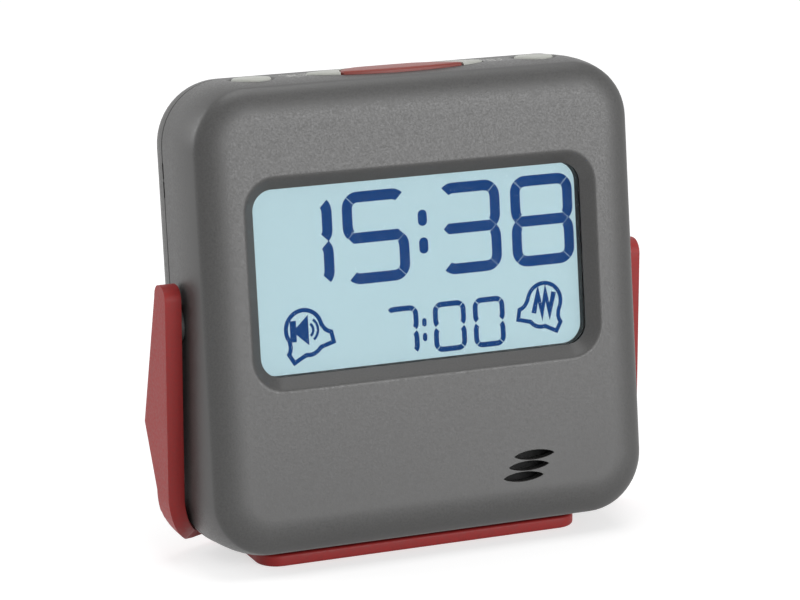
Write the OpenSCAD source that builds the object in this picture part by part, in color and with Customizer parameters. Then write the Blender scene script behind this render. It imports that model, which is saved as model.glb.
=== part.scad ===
// Bedside alarm clock: a soft-cornered case that tilts back in a yoke stand.
// The case is drawn upright with its face at y = 0 and its centre at x = z = 0, and is then
// hung on the pivot. The stand is drawn where it stands: table at z = 0, pivot above it.

/* [Case] */
// Width of the case
case_w = 85; // [84:0.5:90]
// Height of the case
case_h = 84; // [84:0.5:90]
// Depth of the case, face to back
case_d = 25; // [24.5:0.5:30]
// Corner radius seen from the front
corner_r = 11.4; // [10:0.1:12]
// Inward bow of the sides towards the face
front_soft_w = 2.5; // [2:0.1:5]
// Depth over which the sides bow inwards
front_soft_d = 11.5; // [9:0.5:13]
// Width of the round from the sides into the face, seen from the front
face_round_w = 5.3; // [3:0.1:5.5]
// Depth of that round
face_round_d = 1.9; // [1:0.1:2.2]
// Width of the rounded back edge, seen from the back
back_soft_w = 8; // [6:0.2:8.2]
// Depth of the rounded back edge
back_soft_d = 7.7; // [5:0.1:8]
// Depth of the front shell, face to parting line, as a share of the case's depth
parting_share = 0.64; // [0.63:0.01:0.66]
// Wall thickness of both shells
wall = 2; // [1.8:0.1:2.2]
// Lean of the case at rest, in degrees
rest_lean = 7.5; // [5:0.5:10]

/* [Display] */
// Width of the visible display, as a share of the case's width
view_w_share = 0.741; // [0.65:0.01:0.75]
// Height of the visible display, as a share of the case's height
view_h_share = 0.393; // [0.33:0.01:0.4]
// Corner radius of the visible display
view_r = 3.7; // [1:0.1:5]
// Gap between the display frame and the board posts above it
display_drop = 1.2; // [0.3:0.1:1.5]
// Width of the sloping rim round the display
rim_w = 2.2; // [1:0.1:3]
// Depth of the sloping rim
rim_d = 1.9; // [1:0.1:1.9]
// Thickness of the clear window
window_t = 0.6; // [0.4:0.1:0.8]
// Gap between the window and the display glass, filled by the gasket
view_gap = 1.6; // [1:0.1:1.7]
// Thickness of the display glass
glass_t = 1.1; // [0.9:0.1:1.2]
// Thickness of the light guide
guide_t = 1.4; // [1:0.1:1.5]

/* [Keys] */
// Length of the snooze key, as a share of the case's width
snooze_share = 0.4; // [0.34:0.01:0.42]
// Depth of the snooze key, front to back, as a share of the front shell's depth
snooze_d_share = 0.65; // [0.5:0.01:0.66]
// Radius of the coloured insert in the snooze key
insert_r = 12; // [9:0.5:13]
// Length of an alarm key
alarm_l = 7; // [6:0.1:7.4]
// Depth of an alarm key, front to back
alarm_d = 7.6; // [6:0.1:8.4]
// Distance of an alarm key from the middle, as a share of the case's width
alarm_share = 0.3212; // [0.31:0.005:0.33]
// Place of the top keys behind the face, as a share of the front shell's depth
top_key_share = 0.625; // [0.61:0.005:0.64]
// Radius of a set key at the back
set_r = 3.5; // [2.5:0.1:4]
// Spacing of the set keys
set_pitch = 12; // [10.5:0.5:14]
// Height of the set keys above the case centre
set_z = 14; // [6:0.5:18]
// Travel of every key
key_travel = 0.4; // [0.2:0.05:0.5]
// Height of the top keys above the case
key_proud = 0.3; // [0:0.1:0.6]
// Gap round a key
key_gap = 0.25; // [0.2:0.05:0.4]

/* [Sound] */
// Length of a sound slot
slot_l = 7.8; // [6:0.1:9]
// Height of a sound slot
slot_h = 1.7; // [1:0.1:1.8]
// Distance of the middle sound slot to the right
slot_x = 18; // [17:0.5:19]
// Height of the middle sound slot above the bottom of the case
slot_rise = 11.3; // [11:0.1:12]
// Radius of the loudspeaker
speaker_r = 8; // [6.5:0.1:8.2]
// Radius of the vibration motor
motor_r = 2; // [1.5:0.1:2.5]
// Length of the vibration motor
motor_l = 11; // [9:0.5:13]

/* [Power] */
// Diameter of a battery
battery_dia = 10.5; // [10:0.1:10.6]
// Length of a battery
battery_l = 44.5; // [42:0.1:45]
// Thickness of the battery door
door_t = 1.6; // [1.4:0.1:1.8]

/* [Stand] */
// Gap between the case and an arm
arm_gap = 0.75; // [0.6:0.05:2.2]
// Thickness of an arm
arm_t = 3; // [2.3:0.1:3.1]
// Distance of the arm's front edge ahead of the pivot
arm_front = 3.6; // [3.5:0.1:4.5]
// Height of the arm's top above the pivot
arm_top = 7.4; // [6:0.1:9]
// Radius of the pivot stud
stud_r = 2.5; // [2:0.1:2.6]
// Width of the foot, as a share of the case's width
foot_share = 0.734; // [0.6:0.01:0.735]
// Reach of the foot ahead of the pivot
foot_front = 10.7; // [9:0.1:12]
// Reach of the foot behind the pivot
foot_back = 19.4; // [18:0.1:24]
// Least thickness of the foot, below the swinging case
foot_min = 1.1; // [1:0.1:2]
// Thickness of the foot at its front lip
foot_lip = 2.2; // [2:0.1:2.4]
// Corner radius of the foot, seen from above
foot_r = 4; // [2:0.5:6]

/* [Hidden] */
$fn = 48;
// Thickness of a loft slice, reach of a cut past its face, and loose and touching fits
skin = 0.01;
cut = 0.1;
loose = 0.3;
snug = 0.05;
// Smallest corner radius of a loft slice
corner_min = 1.5;

// Seam between the shells
parting_d = parting_share * case_d;
lip_l = 2;
lip_t = 1;
lip_gap = 0.15;

// Depths of the loft slices that soften the front and round the back
back_start = case_d - back_soft_d;
front_depths = concat([for (a = [15:15:75]) front_soft_d * (1 - sin(a))],
    [for (a = [0:15:90]) face_round_d * (1 - sin(a))]);
back_depths = [for (a = [15:15:90]) case_d - skin - back_soft_d * (1 - sin(a))];

// Pivot of the case, above the table and behind the origin
pivot_d = case_d / 2;
shoulder = case_d - back_soft_d - pivot_d;
swing_r = sqrt(pow(shoulder, 2) + pow(case_h / 2, 2));
pivot_h = swing_r + loose + foot_min;
front_reach = max([for (y = front_depths)
    (pivot_d - y) * cos(rest_lean) + (case_h / 2 - soft_inset(y)) * sin(rest_lean)]);
pivot_y = (front_reach - foot_back) / 2;

// Sizes that follow the case
view_w = view_w_share * case_w;
view_h = view_h_share * case_h;
snooze_l = snooze_share * case_w;
snooze_d = snooze_d_share * parting_d;
top_key_y = top_key_share * parting_d;
alarm_x = alarm_share * case_w;
foot_w = foot_share * case_w;
stand_w = case_w + 2 * (arm_gap + arm_t);
slot_z = slot_rise - case_h / 2;

// Layers behind the face: window, gasket, glass, light guide, board
window_y = wall + snug;
frame_y = window_y + window_t + snug;
glass_y = window_y + window_t + view_gap;
guide_y = glass_y + glass_t + snug;
led_t = 0.6;
board_y = guide_y + guide_t + led_t + snug;
board_t = 1;
board_back = board_y + board_t;
glass_margin_w = 6;
glass_margin_h = 5.4;
glass_w = view_w + glass_margin_w;
glass_h = view_h + glass_margin_h;
frame_wall = 1.4;
rail_w = 1.6;
strip_t = 1.5;
strip_inset = 0.2;
strip_z = glass_h / 2 - strip_t / 2 - strip_inset;
guide_margin = 1;
led_w = 3.5;
led_h = 2.8;
led_share = 0.333;
led_x = led_share * view_w;

// Case screws
screw_margin = 8.25;
screw_inset = 12;
case_screw_x = battery_l / 2 + screw_margin;
case_screw_z = case_h / 2 - screw_inset;
case_screw_r = 1.3;
case_screw_head_r = 2.6;
case_screw_head_t = 1.8;
case_boss_r = 2.6;
case_tube_r = 4;
case_seat_drop = 5.5;
case_seat_y = case_d - case_seat_drop;
case_screw_l = 11;
case_screw_end = 1;
corners = [[-1, -1], [1, -1], [-1, 1], [1, 1]];

// Top keys: the plug fills the hole, the flange stays under the wall
top_z = case_h / 2;
flange_t = 0.8;
flange_w = 0.8;
snooze_front = top_key_y - snooze_d / 2;
flange_top = top_z - wall - soft_inset(snooze_front - flange_w) - loose;
stem_r = 1.4;
switch_w = 4.5;
switch_t = 1.8;
plunger_r = 1.2;
plunger_t = 0.8;
press_gap = key_travel + loose;
stem_l = 1.1;
stem_low = flange_top - flange_t - stem_l;
key_board_t = 0.8;
key_board_z = stem_low - press_gap - plunger_t - switch_t - key_board_t;
key_board_margin = 0.2;
key_board_l = 2 * (alarm_x + key_board_margin) + switch_w;
key_board_w = 7.5;
key_post_gap = 3.7;
key_post_x = snooze_l / 2 + key_post_gap;
key_post_r = 1.8;
key_screw_l = 4.5;
dish_w = 1.2;
dish_depth = 0.9;
insert_depth = 1.6;
insert_set = -0.4;
insert_y = insert_set - snooze_d / 2;

// Main board: its tab and posts stand between the key board and the display frame
post_r = 2;
board_screw_r = 0.8;
hole_floor = 1;
board_screw_l = board_back - wall - hole_floor - loose;
board_head_r = 1.7;
board_head_t = 1;
post_high = key_board_z - loose - post_r - loose;
view_z = post_high - post_r - display_drop - snug - frame_wall - glass_h / 2;
post_low = view_z - glass_h / 2 - frame_wall - snug - loose - post_r;
post_share = 0.143;
post_high_x = post_share * glass_w;
post_low_x = case_screw_x;
board_w = glass_w - 1;
board_low = post_low + post_r;
board_high = view_z + glass_h / 2 + frame_wall;
board_ear_w = 2 * post_r + 2 * loose;
board_screws_at = [
    [-post_low_x, post_low], [post_low_x, post_low], [-post_high_x, post_high], [post_high_x, post_high]
];

// Pieces on the board, behind it
chip_x = -8;
chip_r = 5;
chip_t = 1.5;
crystal_x = 16;
crystal_z = -6;
crystal_r = 1.5;
crystal_l = 6;
capacitor_x = 26;
capacitor_r = 2.5;
capacitor_l = 6;

// Set keys at the back
set_count = 4;
set_proud = 0.5;
set_flange_y = case_d - wall - loose - flange_t;
set_stem_y = board_back + switch_t + plunger_t + press_gap;

// Loudspeaker
speaker_lift = 1.2;
speaker_z = slot_z + speaker_lift;
gasket_t = 0.6;
basket_y = wall + gasket_t + snug;
basket_t = 3.2;
magnet_share = 0.55;
magnet_r = magnet_share * speaker_r;
magnet_t = 2;
ring_wall = 1;
basket_rim = 1.6;
basket_floor = 0.6;
basket_step = 1;
cone_r = 2.2;
cone_t = 0.3;
slot_step_x = 1.17;
slot_step_z = 1.88;

// Vibration motor, along x
motor_x = -19;
motor_rise = 12.2;
motor_z = motor_rise - case_h / 2;
boot_t = 0.5;
boot_r = motor_r + boot_t;
motor_y = wall + boot_r + loose;
boot_margin = 4;
boot_l = motor_l - boot_margin;
strap_t = 0.8;
strap_ear = 4;
strap_screw_l = motor_y + strap_t - wall - hole_floor - loose;
strap_head_r = 1.5;
strap_head_t = 0.8;
strap_hole_z = boot_r + strap_t + strap_head_r + cut;
shaft_r = 0.5;
shaft_l = 6;
shaft_seat = 1.5;
weight_gap = 1;
weight_r = motor_r + loose;
weight_l = 4;

// Battery bay, opening at the back
bay_wall = 1;
bay_gap = 0.4;
battery_pitch = battery_dia + bay_gap;
contact_room = 5;
bay_w = battery_l + contact_room;
bay_h = 2 * battery_pitch + bay_gap;
bay_top = -11.3;
bay_z = bay_top - bay_h / 2;
bay_front = case_d - wall + cut - battery_dia - bay_gap;
battery_y = bay_front + bay_gap / 2 + battery_dia / 2;
nub_r = 2.75;
nub_t = 0.9;
battery_x = 0.9;
contact_t = 0.4;
contact_w = 8;
leaf_w = 4;

// Battery door: its lower edge is round about the hinge line
door_w = bay_w - 2 * loose;
door_y = case_d - snug - door_t / 2;
door_low = bay_z - bay_h / 2 + loose + door_t / 2;
door_high = bay_z + bay_h / 2 - loose;
door_pin_r = 0.5;
door_pin_l = 0.8;
grip_w = 12;
grip_r = 3.8;
grip_drop = 4;
grip_depth = 0.8;

// Pry notch in the seam, on the left side
notch_z = 25;
notch_l = 2.8;
notch_gap = 0.5;
notch_w = 0.6;
notch_depth = 0.8;

// Stand: outer radius of the lower bends at three stations behind the pivot
bend_stations = [-arm_front, 3.8, 8.4];
bend_growth = [-0.8, -0.6, 9.6];
bend_radii = [for (g = bend_growth) corner_r + arm_t + g];
arm_inner = stand_w / 2 - arm_t;
washer_rim = 0.9;
washer_r = stud_r + washer_rim;
washer_t = arm_gap - cut;
hub_rim = 0.6;
hub_r = stud_r + hub_rim;
hub_l = 1;
hub_x = case_w / 2 - wall - hub_l;
stud_end = hub_x - loose;
clip_rim = 1.7;
clip_r = stud_r + clip_rim;
clip_t = 1;
pivot_screw_r = 1.1;
pivot_screw_head_r = 2.2;
pivot_screw_head_t = 1.4;
pivot_screw_l = 4;
arm_rear = 2.1;
arm_round = 2.5;
arm_heel = [9.2, -22.3];
arm_neck = [2.4, -29.2];
toe_r = 10;
toe_z = -31.5;
flare_r = 14;
flare_y = arm_neck[0] + flare_r;

// Inset along a quarter of an ellipse, at a distance from its narrow end
function round_inset(w, d, y) = y < d ? w * (1 - sqrt(1 - pow(1 - y / d, 2))) : 0;

// Inset of the case outline at a depth behind the face
function soft_inset(y) =
    y > back_start ? back_soft_w * (1 - sqrt(1 - pow((y - back_start) / back_soft_d, 2)))
    : round_inset(front_soft_w, front_soft_d, y) + round_inset(face_round_w, face_round_d, y);

// Plate drawn as seen from the front, from depth y backwards
module facing(y, t) {
    translate([0, y + t, 0]) rotate([90, 0, 0]) linear_extrude(t) children();
}

// Round bar along y
module bar_y(y0, y1, r) {
    translate([0, y0, 0]) rotate([-90, 0, 0]) cylinder(h = y1 - y0, r = r);
}

// Round bar along x
module bar_x(x0, x1, r) {
    translate([x0, 0, 0]) rotate([0, 90, 0]) cylinder(h = x1 - x0, r = r);
}

module rounded(w, h, r) {
    square([w - 2 * r, h], center = true);
    square([w, h - 2 * r], center = true);
    for (c = corners) translate([c[0] * (w / 2 - r), c[1] * (h / 2 - r)]) circle(r);
}

module oval(w, d) {
    polygon([for (a = [0:7.5:352.5]) [w / 2 * cos(a), d / 2 * sin(a)]]);
}

// Leaf shape between two equal arcs
module leaf(l, h) {
    r = (l * l + h * h) / (4 * h);
    intersection() {
        translate([0, r - h / 2]) circle(r, $fn = 180);
        translate([0, h / 2 - r]) circle(r, $fn = 180);
    }
}

// Outline of the case at a depth, drawn in by an inset
module case_outline(y, inset) {
    in = soft_inset(y) + inset;
    rounded(case_w - 2 * in, case_h - 2 * in, max(corner_r - in, corner_min), $fn = 64);
}

// Loft from the straight stretch of the case through the outline at the given depths
module case_loft(straight_from, straight_to, depths, inset) {
    hull() {
        facing(straight_from, straight_to - straight_from) case_outline(straight_from, inset);
        for (y = depths) facing(y, skin) case_outline(y, inset);
    }
}

module in_case() {
    translate([0, pivot_y, pivot_h]) rotate([-rest_lean, 0, 0]) translate([0, -pivot_d, 0]) children();
}

module at_pivot() {
    translate([0, pivot_y, pivot_h]) children();
}

module both_sides() {
    children();
    mirror([1, 0, 0]) children();
}

module both_ends() {
    children();
    mirror([0, 0, 1]) children();
}

// Pan-head screw pointing along -y with its head's underside at y = 0
module screw_y(r, l, head_r, head_t) {
    bar_y(-l, cut, r);
    bar_y(0, head_t, head_r);
}

module tact_switch() {
    translate([-switch_w / 2, -switch_w / 2, 0]) cube([switch_w, switch_w, switch_t]);
    translate([0, 0, switch_t - cut]) cylinder(h = plunger_t + cut, r = plunger_r);
}

// Outline of the stand at one station: a rectangle with round lower corners
module stand_outline(r, inset, floor_z) {
    w = stand_w - 2 * inset;
    high = pivot_h + arm_top + arm_round;
    rr = r - inset;
    translate([-w / 2, floor_z + rr]) square([w, high - floor_z - rr]);
    translate([rr - w / 2, floor_z]) square([w - 2 * rr, high - floor_z]);
    for (s = [-1, 1]) translate([s * (w / 2 - rr), floor_z + rr]) circle(rr, $fn = 64);
}

// Solid between the stand's stations, constant behind the last one
module stand_loft(inset, floor_z) {
    for (i = [0, 1]) hull() for (k = [i, i + 1])
        facing(bend_stations[k], skin) stand_outline(bend_radii[k], inset, floor_z);
    last = bend_stations[2];
    facing(last, foot_back - last + cut) stand_outline(bend_radii[2], inset, floor_z);
}

// Side view of an arm and its leg, y behind the pivot and z above it
module arm_side() {
    difference() {
        union() {
            polygon([
                [-arm_front, toe_z], [-arm_front, arm_top - arm_round], [arm_round - arm_front, arm_top],
                [arm_rear - arm_round, arm_top], [arm_rear, arm_top - arm_round], arm_heel, arm_neck,
                [flare_y, arm_neck[1]], [flare_y, -pivot_h - cut], [toe_r - arm_front, -pivot_h - cut],
                [toe_r - arm_front, toe_z]
            ]);
            translate([arm_round - arm_front, arm_top - arm_round]) circle(arm_round);
            translate([arm_rear - arm_round, arm_top - arm_round]) circle(arm_round);
            intersection() {
                translate([toe_r - arm_front, toe_z]) circle(toe_r, $fn = 96);
                translate([-arm_front, toe_z - toe_r]) square([toe_r + cut, toe_r + cut]);
            }
        }
        intersection() {
            translate([flare_y, arm_neck[1]]) circle(flare_r, $fn = 96);
            translate([flare_y - flare_r, arm_neck[1] - flare_r]) square(flare_r);
        }
    }
}

// Room that the tilting case needs, round the pivot's axis: reach and distance from the middle
module swing_room() {
    centre = [case_w / 2 - corner_r, case_h / 2 - corner_r];
    corner = [for (a = [0:7.5:90]) centre + (corner_r + loose) * [cos(a), sin(a)]];
    edge = [for (c = corner) [sqrt(pow(shoulder, 2) + pow(c[1], 2)), c[0]]];
    rotate([0, 90, 0]) both_ends() rotate_extrude($fn = 96)
        polygon(concat([[0, 0], [0, edge[0][1]]], edge, [[swing_r + loose, 0]]));
}

module stand_yoke() color("firebrick") translate([0, pivot_y, 0]) {
    difference() {
        union() {
            intersection() {
                difference() {
                    stand_loft(0, 0);
                    stand_loft(arm_t, foot_lip);
                }
                translate([-stand_w / 2 - cut, 0, pivot_h]) rotate([90, 0, 90])
                    linear_extrude(stand_w + 2 * cut) arm_side();
            }
            translate([0, (foot_back - foot_front) / 2, 0])
                linear_extrude(foot_lip) rounded(foot_w, foot_front + foot_back, foot_r);
            translate([0, 0, pivot_h]) both_sides() bar_x(stud_end, arm_inner + cut, stud_r);
        }
        intersection() {
            translate([0, 0, pivot_h]) swing_room();
            translate([-foot_w, -foot_front - cut, 0])
                cube([2 * foot_w, foot_front + shoulder + cut, pivot_h / 4]);
        }
        translate([0, 0, pivot_h]) both_sides()
            bar_x(stud_end - cut, stud_end + pivot_screw_l, pivot_screw_r + snug);
    }
}

module friction_washers() color("dimgray") at_pivot() both_sides() difference() {
    bar_x(arm_inner - washer_t, arm_inner, washer_r);
    bar_x(arm_inner - washer_t - cut, arm_inner + cut, stud_r + snug);
}

module pivot_clips() color("silver") at_pivot() both_sides() difference() {
    bar_x(stud_end - clip_t, stud_end, clip_r);
    bar_x(stud_end - clip_t - cut, stud_end + cut, pivot_screw_r + snug);
}

module pivot_screws() color("silver") at_pivot() both_sides() {
    bar_x(stud_end - clip_t - pivot_screw_head_t, stud_end - clip_t, pivot_screw_head_r);
    bar_x(stud_end - clip_t - cut, stud_end + pivot_screw_l - clip_t, pivot_screw_r);
}

// Openings of the front shell
module display_opening() translate([0, 0, view_z]) {
    hull() {
        facing(-cut, skin) rounded(view_w + 2 * rim_w, view_h + 2 * rim_w, view_r + rim_w);
        facing(rim_d, skin) rounded(view_w, view_h, view_r);
    }
    facing(rim_d, wall) rounded(view_w, view_h, view_r);
}

module sound_slots() {
    for (i = [-1:1]) translate([slot_x - i * slot_step_x, 0, slot_z - i * slot_step_z])
        facing(-cut, wall + 2 * cut) leaf(slot_l, slot_h);
}

module key_holes() {
    deep = wall + front_soft_w;
    translate([0, top_key_y, top_z - deep]) {
        linear_extrude(deep + cut) oval(snooze_l + 2 * key_gap, snooze_d + 2 * key_gap);
        for (s = [-1, 1]) translate([s * alarm_x, 0, 0]) {
            linear_extrude(deep + cut) oval(alarm_l + 2 * key_gap, alarm_d + 2 * key_gap);
            translate([0, 0, deep - dish_depth])
                linear_extrude(dish_depth + cut) oval(alarm_l + 2 * dish_w, alarm_d + 2 * dish_w);
        }
    }
}

module pry_notch() {
    for (z = [notch_z - notch_l - notch_gap / 2, notch_z + notch_gap / 2])
        translate([-case_w / 2 - cut, parting_d - notch_w / 2, z])
            cube([notch_depth + cut, notch_w, notch_l]);
}

module front_shell() color("dimgray") in_case() {
    difference() {
        union() {
            difference() {
                case_loft(front_soft_d, parting_d, front_depths, 0);
                case_loft(front_soft_d, parting_d + cut, [wall, wall + front_soft_d / 4], wall);
            }
            for (c = corners) translate([c[0] * case_screw_x, 0, c[1] * case_screw_z])
                bar_y(wall - cut, parting_d, case_boss_r);
            for (p = board_screws_at) translate([p[0], 0, p[1]]) bar_y(wall - cut, board_y, post_r);
            for (s = [-1, 1]) translate([s * key_post_x, top_key_y, key_board_z + key_board_t])
                cylinder(h = top_z - wall / 2 - key_board_z - key_board_t, r = key_post_r);
            translate([0, pivot_d, 0]) both_sides() bar_x(hub_x, case_w / 2 - wall / 2, hub_r);
            translate([slot_x, 0, speaker_z]) difference() {
                bar_y(wall - cut, basket_y + basket_t, speaker_r + snug + ring_wall);
                bar_y(wall, case_d, speaker_r + snug);
            }
            translate([motor_x, 0, motor_z]) difference() {
                translate([-boot_l / 2, wall - cut, -boot_r - strap_ear])
                    cube([boot_l, motor_y - wall + cut, 2 * (boot_r + strap_ear)]);
                translate([0, motor_y, 0]) bar_x(-boot_l, boot_l, boot_r + snug);
            }
        }
        display_opening();
        pry_notch();
        sound_slots();
        key_holes();
        for (c = corners) translate([c[0] * case_screw_x, 0, c[1] * case_screw_z])
            bar_y(case_seat_y - case_screw_l - case_screw_end, parting_d + cut, case_screw_r + snug);
        for (p = board_screws_at) translate([p[0], 0, p[1]])
            bar_y(wall + hole_floor, board_y + cut, board_screw_r + snug);
        for (s = [-1, 1]) translate([s * key_post_x, top_key_y, key_board_z])
            cylinder(h = key_screw_l + snug, r = board_screw_r + snug);
        translate([0, pivot_d, 0]) both_sides() bar_x(hub_x - cut, case_w / 2 + cut, stud_r + snug);
        for (s = [-1, 1]) translate([motor_x, 0, motor_z + s * strap_hole_z])
            bar_y(wall + hole_floor, motor_y + cut, board_screw_r + snug);
    }
}

// Pieces of the rear shell
module bay_box(grow, front, back) translate([0, 0, bay_z])
    facing(front, back - front) square([bay_w + 2 * grow, bay_h + 2 * grow], center = true);

module lip_ring(inset, t) difference() {
    rounded(case_w - 2 * inset, case_h - 2 * inset, corner_r - inset);
    rounded(case_w - 2 * (inset + t), case_h - 2 * (inset + t), corner_r - inset - t);
}

// Tongue inside the front shell, on a root that joins the rear shell's wall
module seam_lip() difference() {
    union() {
        facing(parting_d - lip_l, 2 * lip_l) lip_ring(wall + lip_gap, lip_t);
        facing(parting_d + snug, lip_l - snug) lip_ring(wall - cut, lip_gap + 2 * cut);
    }
    translate([-case_w, 0, case_h / 2 - corner_r - wall]) cube([2 * case_w, case_d, case_h]);
    translate([-case_w, 0, -clip_r - lip_l]) cube([2 * case_w, case_d, 2 * (clip_r + lip_l)]);
}

module rear_shell() color("dimgray") in_case() {
    difference() {
        union() {
            difference() {
                case_loft(parting_d, back_start, back_depths, 0);
                case_loft(parting_d - cut, back_start, [case_d - back_soft_d / 2, case_d - wall], wall);
            }
            seam_lip();
            bay_box(bay_wall, bay_front - bay_wall, case_d - wall + cut);
            for (c = corners) translate([c[0] * case_screw_x, 0, c[1] * case_screw_z])
                bar_y(parting_d + snug, case_d - wall + cut, case_tube_r);
        }
        bay_box(0, bay_front, case_d + cut);
        pry_notch();
        for (c = corners) translate([c[0] * case_screw_x, 0, c[1] * case_screw_z]) {
            bar_y(parting_d - cut, case_d, case_screw_r + cut);
            bar_y(case_seat_y, case_d + cut, case_screw_head_r + loose);
        }
        for (i = [0:set_count - 1]) translate([set_x(i), 0, set_z])
            bar_y(case_d - wall - cut, case_d + cut, set_r + key_gap);
        translate([0, door_y, door_low]) both_sides()
            bar_x(0, door_w / 2 + loose + door_pin_l + cut, door_pin_r + snug);
    }
}

module case_screws() color("silver") in_case()
    for (c = corners) translate([c[0] * case_screw_x, case_seat_y, c[1] * case_screw_z])
        screw_y(case_screw_r, case_screw_l, case_screw_head_r, case_screw_head_t);

module window() color("lightcyan", 0.4) in_case() translate([0, 0, view_z])
    facing(window_y, window_t) square([glass_w, glass_h], center = true);

module display_gasket() color("black") in_case() translate([0, 0, view_z])
    facing(frame_y, glass_y - frame_y - snug) difference() {
        square([glass_w, glass_h], center = true);
        rounded(view_w, view_h, view_r);
    }

module display_glass() color("lightblue") in_case() translate([0, 0, view_z])
    facing(glass_y, glass_t) square([glass_w, glass_h], center = true);

module display_frame() color("whitesmoke") in_case() translate([0, 0, view_z]) {
    out_w = glass_w + 2 * (frame_wall + snug);
    out_h = glass_h + 2 * (frame_wall + snug);
    facing(frame_y, board_y - frame_y) difference() {
        square([out_w, out_h], center = true);
        square([glass_w + 2 * snug, glass_h + 2 * snug], center = true);
    }
    facing(guide_y, board_y - guide_y) for (s = [-1, 1])
        translate([s * (glass_w - rail_w + cut) / 2, 0]) square([rail_w, glass_h + 2 * cut], center = true);
}

module light_guide() color("white") in_case() translate([0, 0, view_z])
    facing(guide_y, guide_t) square([view_w, glass_h - 2 * strip_t] + guide_margin * [1, -1], center = true);

module backlight_leds() color("lightyellow") in_case() translate([0, 0, view_z])
    for (s = [-1, 1]) translate([s * led_x, 0, 0])
        facing(board_y - led_t, led_t) square([led_w, led_h], center = true);

module contact_strips() color("hotpink") in_case() translate([0, 0, view_z])
    for (s = [-1, 1]) translate([0, 0, s * strip_z])
        facing(guide_y, board_y - guide_y) square([view_w, strip_t], center = true);

module main_board() color("seagreen") in_case() difference() {
    facing(board_y, board_t) union() {
        translate([-board_w / 2, board_low]) square([board_w, board_high - board_low]);
        for (p = board_screws_at) translate(p) square(board_ear_w, center = true);
        for (x = [-post_high_x, post_high_x]) translate([x - board_ear_w / 2, board_high - cut])
            square([board_ear_w, post_high - board_high + cut]);
    }
    for (p = board_screws_at) translate([p[0], 0, p[1]])
        bar_y(board_y - cut, board_back + cut, board_screw_r + cut);
}

module clock_chip() color("black") in_case() translate([chip_x, board_back, 0]) rotate([-90, 0, 0])
    rotate_extrude() intersection() {
        translate([0, chip_t - (chip_r * chip_r + chip_t * chip_t) / (2 * chip_t)])
            circle((chip_r * chip_r + chip_t * chip_t) / (2 * chip_t), $fn = 180);
        square([chip_r, chip_t]);
    }

module quartz_crystal() color("silver") in_case()
    translate([crystal_x, board_back + crystal_r, crystal_z]) bar_x(0, crystal_l, crystal_r);

module supply_capacitor() color("navy") in_case()
    translate([capacitor_x, 0, 0]) bar_y(board_back, board_back + capacitor_l, capacitor_r);

module board_screws() color("silver") in_case() for (p = board_screws_at)
    translate([p[0], board_back, p[1]]) screw_y(board_screw_r, board_screw_l, board_head_r, board_head_t);

// A top key: plug, flange and stem
module top_key(l, d) {
    translate([0, top_key_y, flange_top - cut])
        linear_extrude(top_z + key_proud - flange_top + cut) oval(l, d);
    translate([0, top_key_y, flange_top - flange_t])
        linear_extrude(flange_t) oval(l + 2 * flange_w, d + 2 * flange_w);
    translate([0, top_key_y, stem_low]) cylinder(h = flange_top - stem_low - flange_t + cut, r = stem_r);
}

module insert_plan(gap) intersection() {
    oval(snooze_l - 2 * gap, snooze_d - 2 * gap);
    translate([0, insert_y]) circle(insert_r - gap, $fn = 96);
}

module snooze_key() color("lightgray") in_case() difference() {
    top_key(snooze_l, snooze_d);
    translate([0, top_key_y + insert_y, top_z + key_proud - insert_depth])
        cylinder(h = insert_depth + cut, r = insert_r, $fn = 96);
}

module snooze_insert() color("indianred") in_case()
    translate([0, top_key_y, top_z + key_proud - insert_depth + snug])
        linear_extrude(insert_depth) insert_plan(snug);

module sound_key() color("lightgray") in_case() translate([-alarm_x, 0, 0]) top_key(alarm_l, alarm_d);

module vibration_key() color("lightgray") in_case() translate([alarm_x, 0, 0]) top_key(alarm_l, alarm_d);

module key_board() color("seagreen") in_case() translate([0, top_key_y, key_board_z]) difference() {
    translate([-key_board_l / 2, -key_board_w / 2, 0]) cube([key_board_l, key_board_w, key_board_t]);
    for (s = [-1, 1]) translate([s * key_post_x, 0, -cut])
        cylinder(h = key_board_t + 2 * cut, r = board_screw_r + cut);
}

module key_switches() color("black") in_case()
    for (x = [-alarm_x, 0, alarm_x]) translate([x, top_key_y, key_board_z + key_board_t]) tact_switch();

module key_board_screws() color("silver") in_case()
    for (s = [-1, 1]) translate([s * key_post_x, top_key_y, key_board_z])
        rotate([90, 0, 0]) mirror([0, 1, 0]) screw_y(board_screw_r, key_screw_l, board_head_r, board_head_t);

function set_x(i) = (i - (set_count - 1) / 2) * set_pitch;

module set_key(i) color("lightgray") in_case() translate([set_x(i), 0, set_z]) {
    bar_y(set_flange_y, case_d + set_proud, set_r);
    bar_y(set_flange_y, set_flange_y + flange_t, set_r + key_gap + flange_w);
    bar_y(set_stem_y, set_flange_y + cut, stem_r);
}

module time_key() set_key(0);

module alarm_key() set_key(1);

module up_key() set_key(2);

module down_key() set_key(3);

module set_switches() color("black") in_case()
    for (i = [0:set_count - 1]) translate([set_x(i), board_back, set_z]) rotate([-90, 0, 0]) tact_switch();

module at_speaker() in_case() translate([slot_x, 0, speaker_z]) children();

module speaker_gasket() color("black") at_speaker() difference() {
    bar_y(wall + snug, wall + gasket_t, speaker_r - snug);
    bar_y(wall - cut, wall + 2 * gasket_t, speaker_r - basket_rim);
}

module speaker_basket() color("gray") at_speaker() rotate([-90, 0, 0]) rotate_extrude() {
    back = basket_y + basket_t;
    polygon([
        [speaker_r - basket_rim, basket_y], [speaker_r - snug, basket_y],
        [speaker_r - snug, basket_y + basket_step], [speaker_r - basket_rim + basket_floor, back],
        [0, back], [0, back - basket_floor], [speaker_r - basket_rim - cone_t, back - basket_floor],
        [speaker_r - basket_rim, basket_y + basket_step]
    ]);
}

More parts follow.
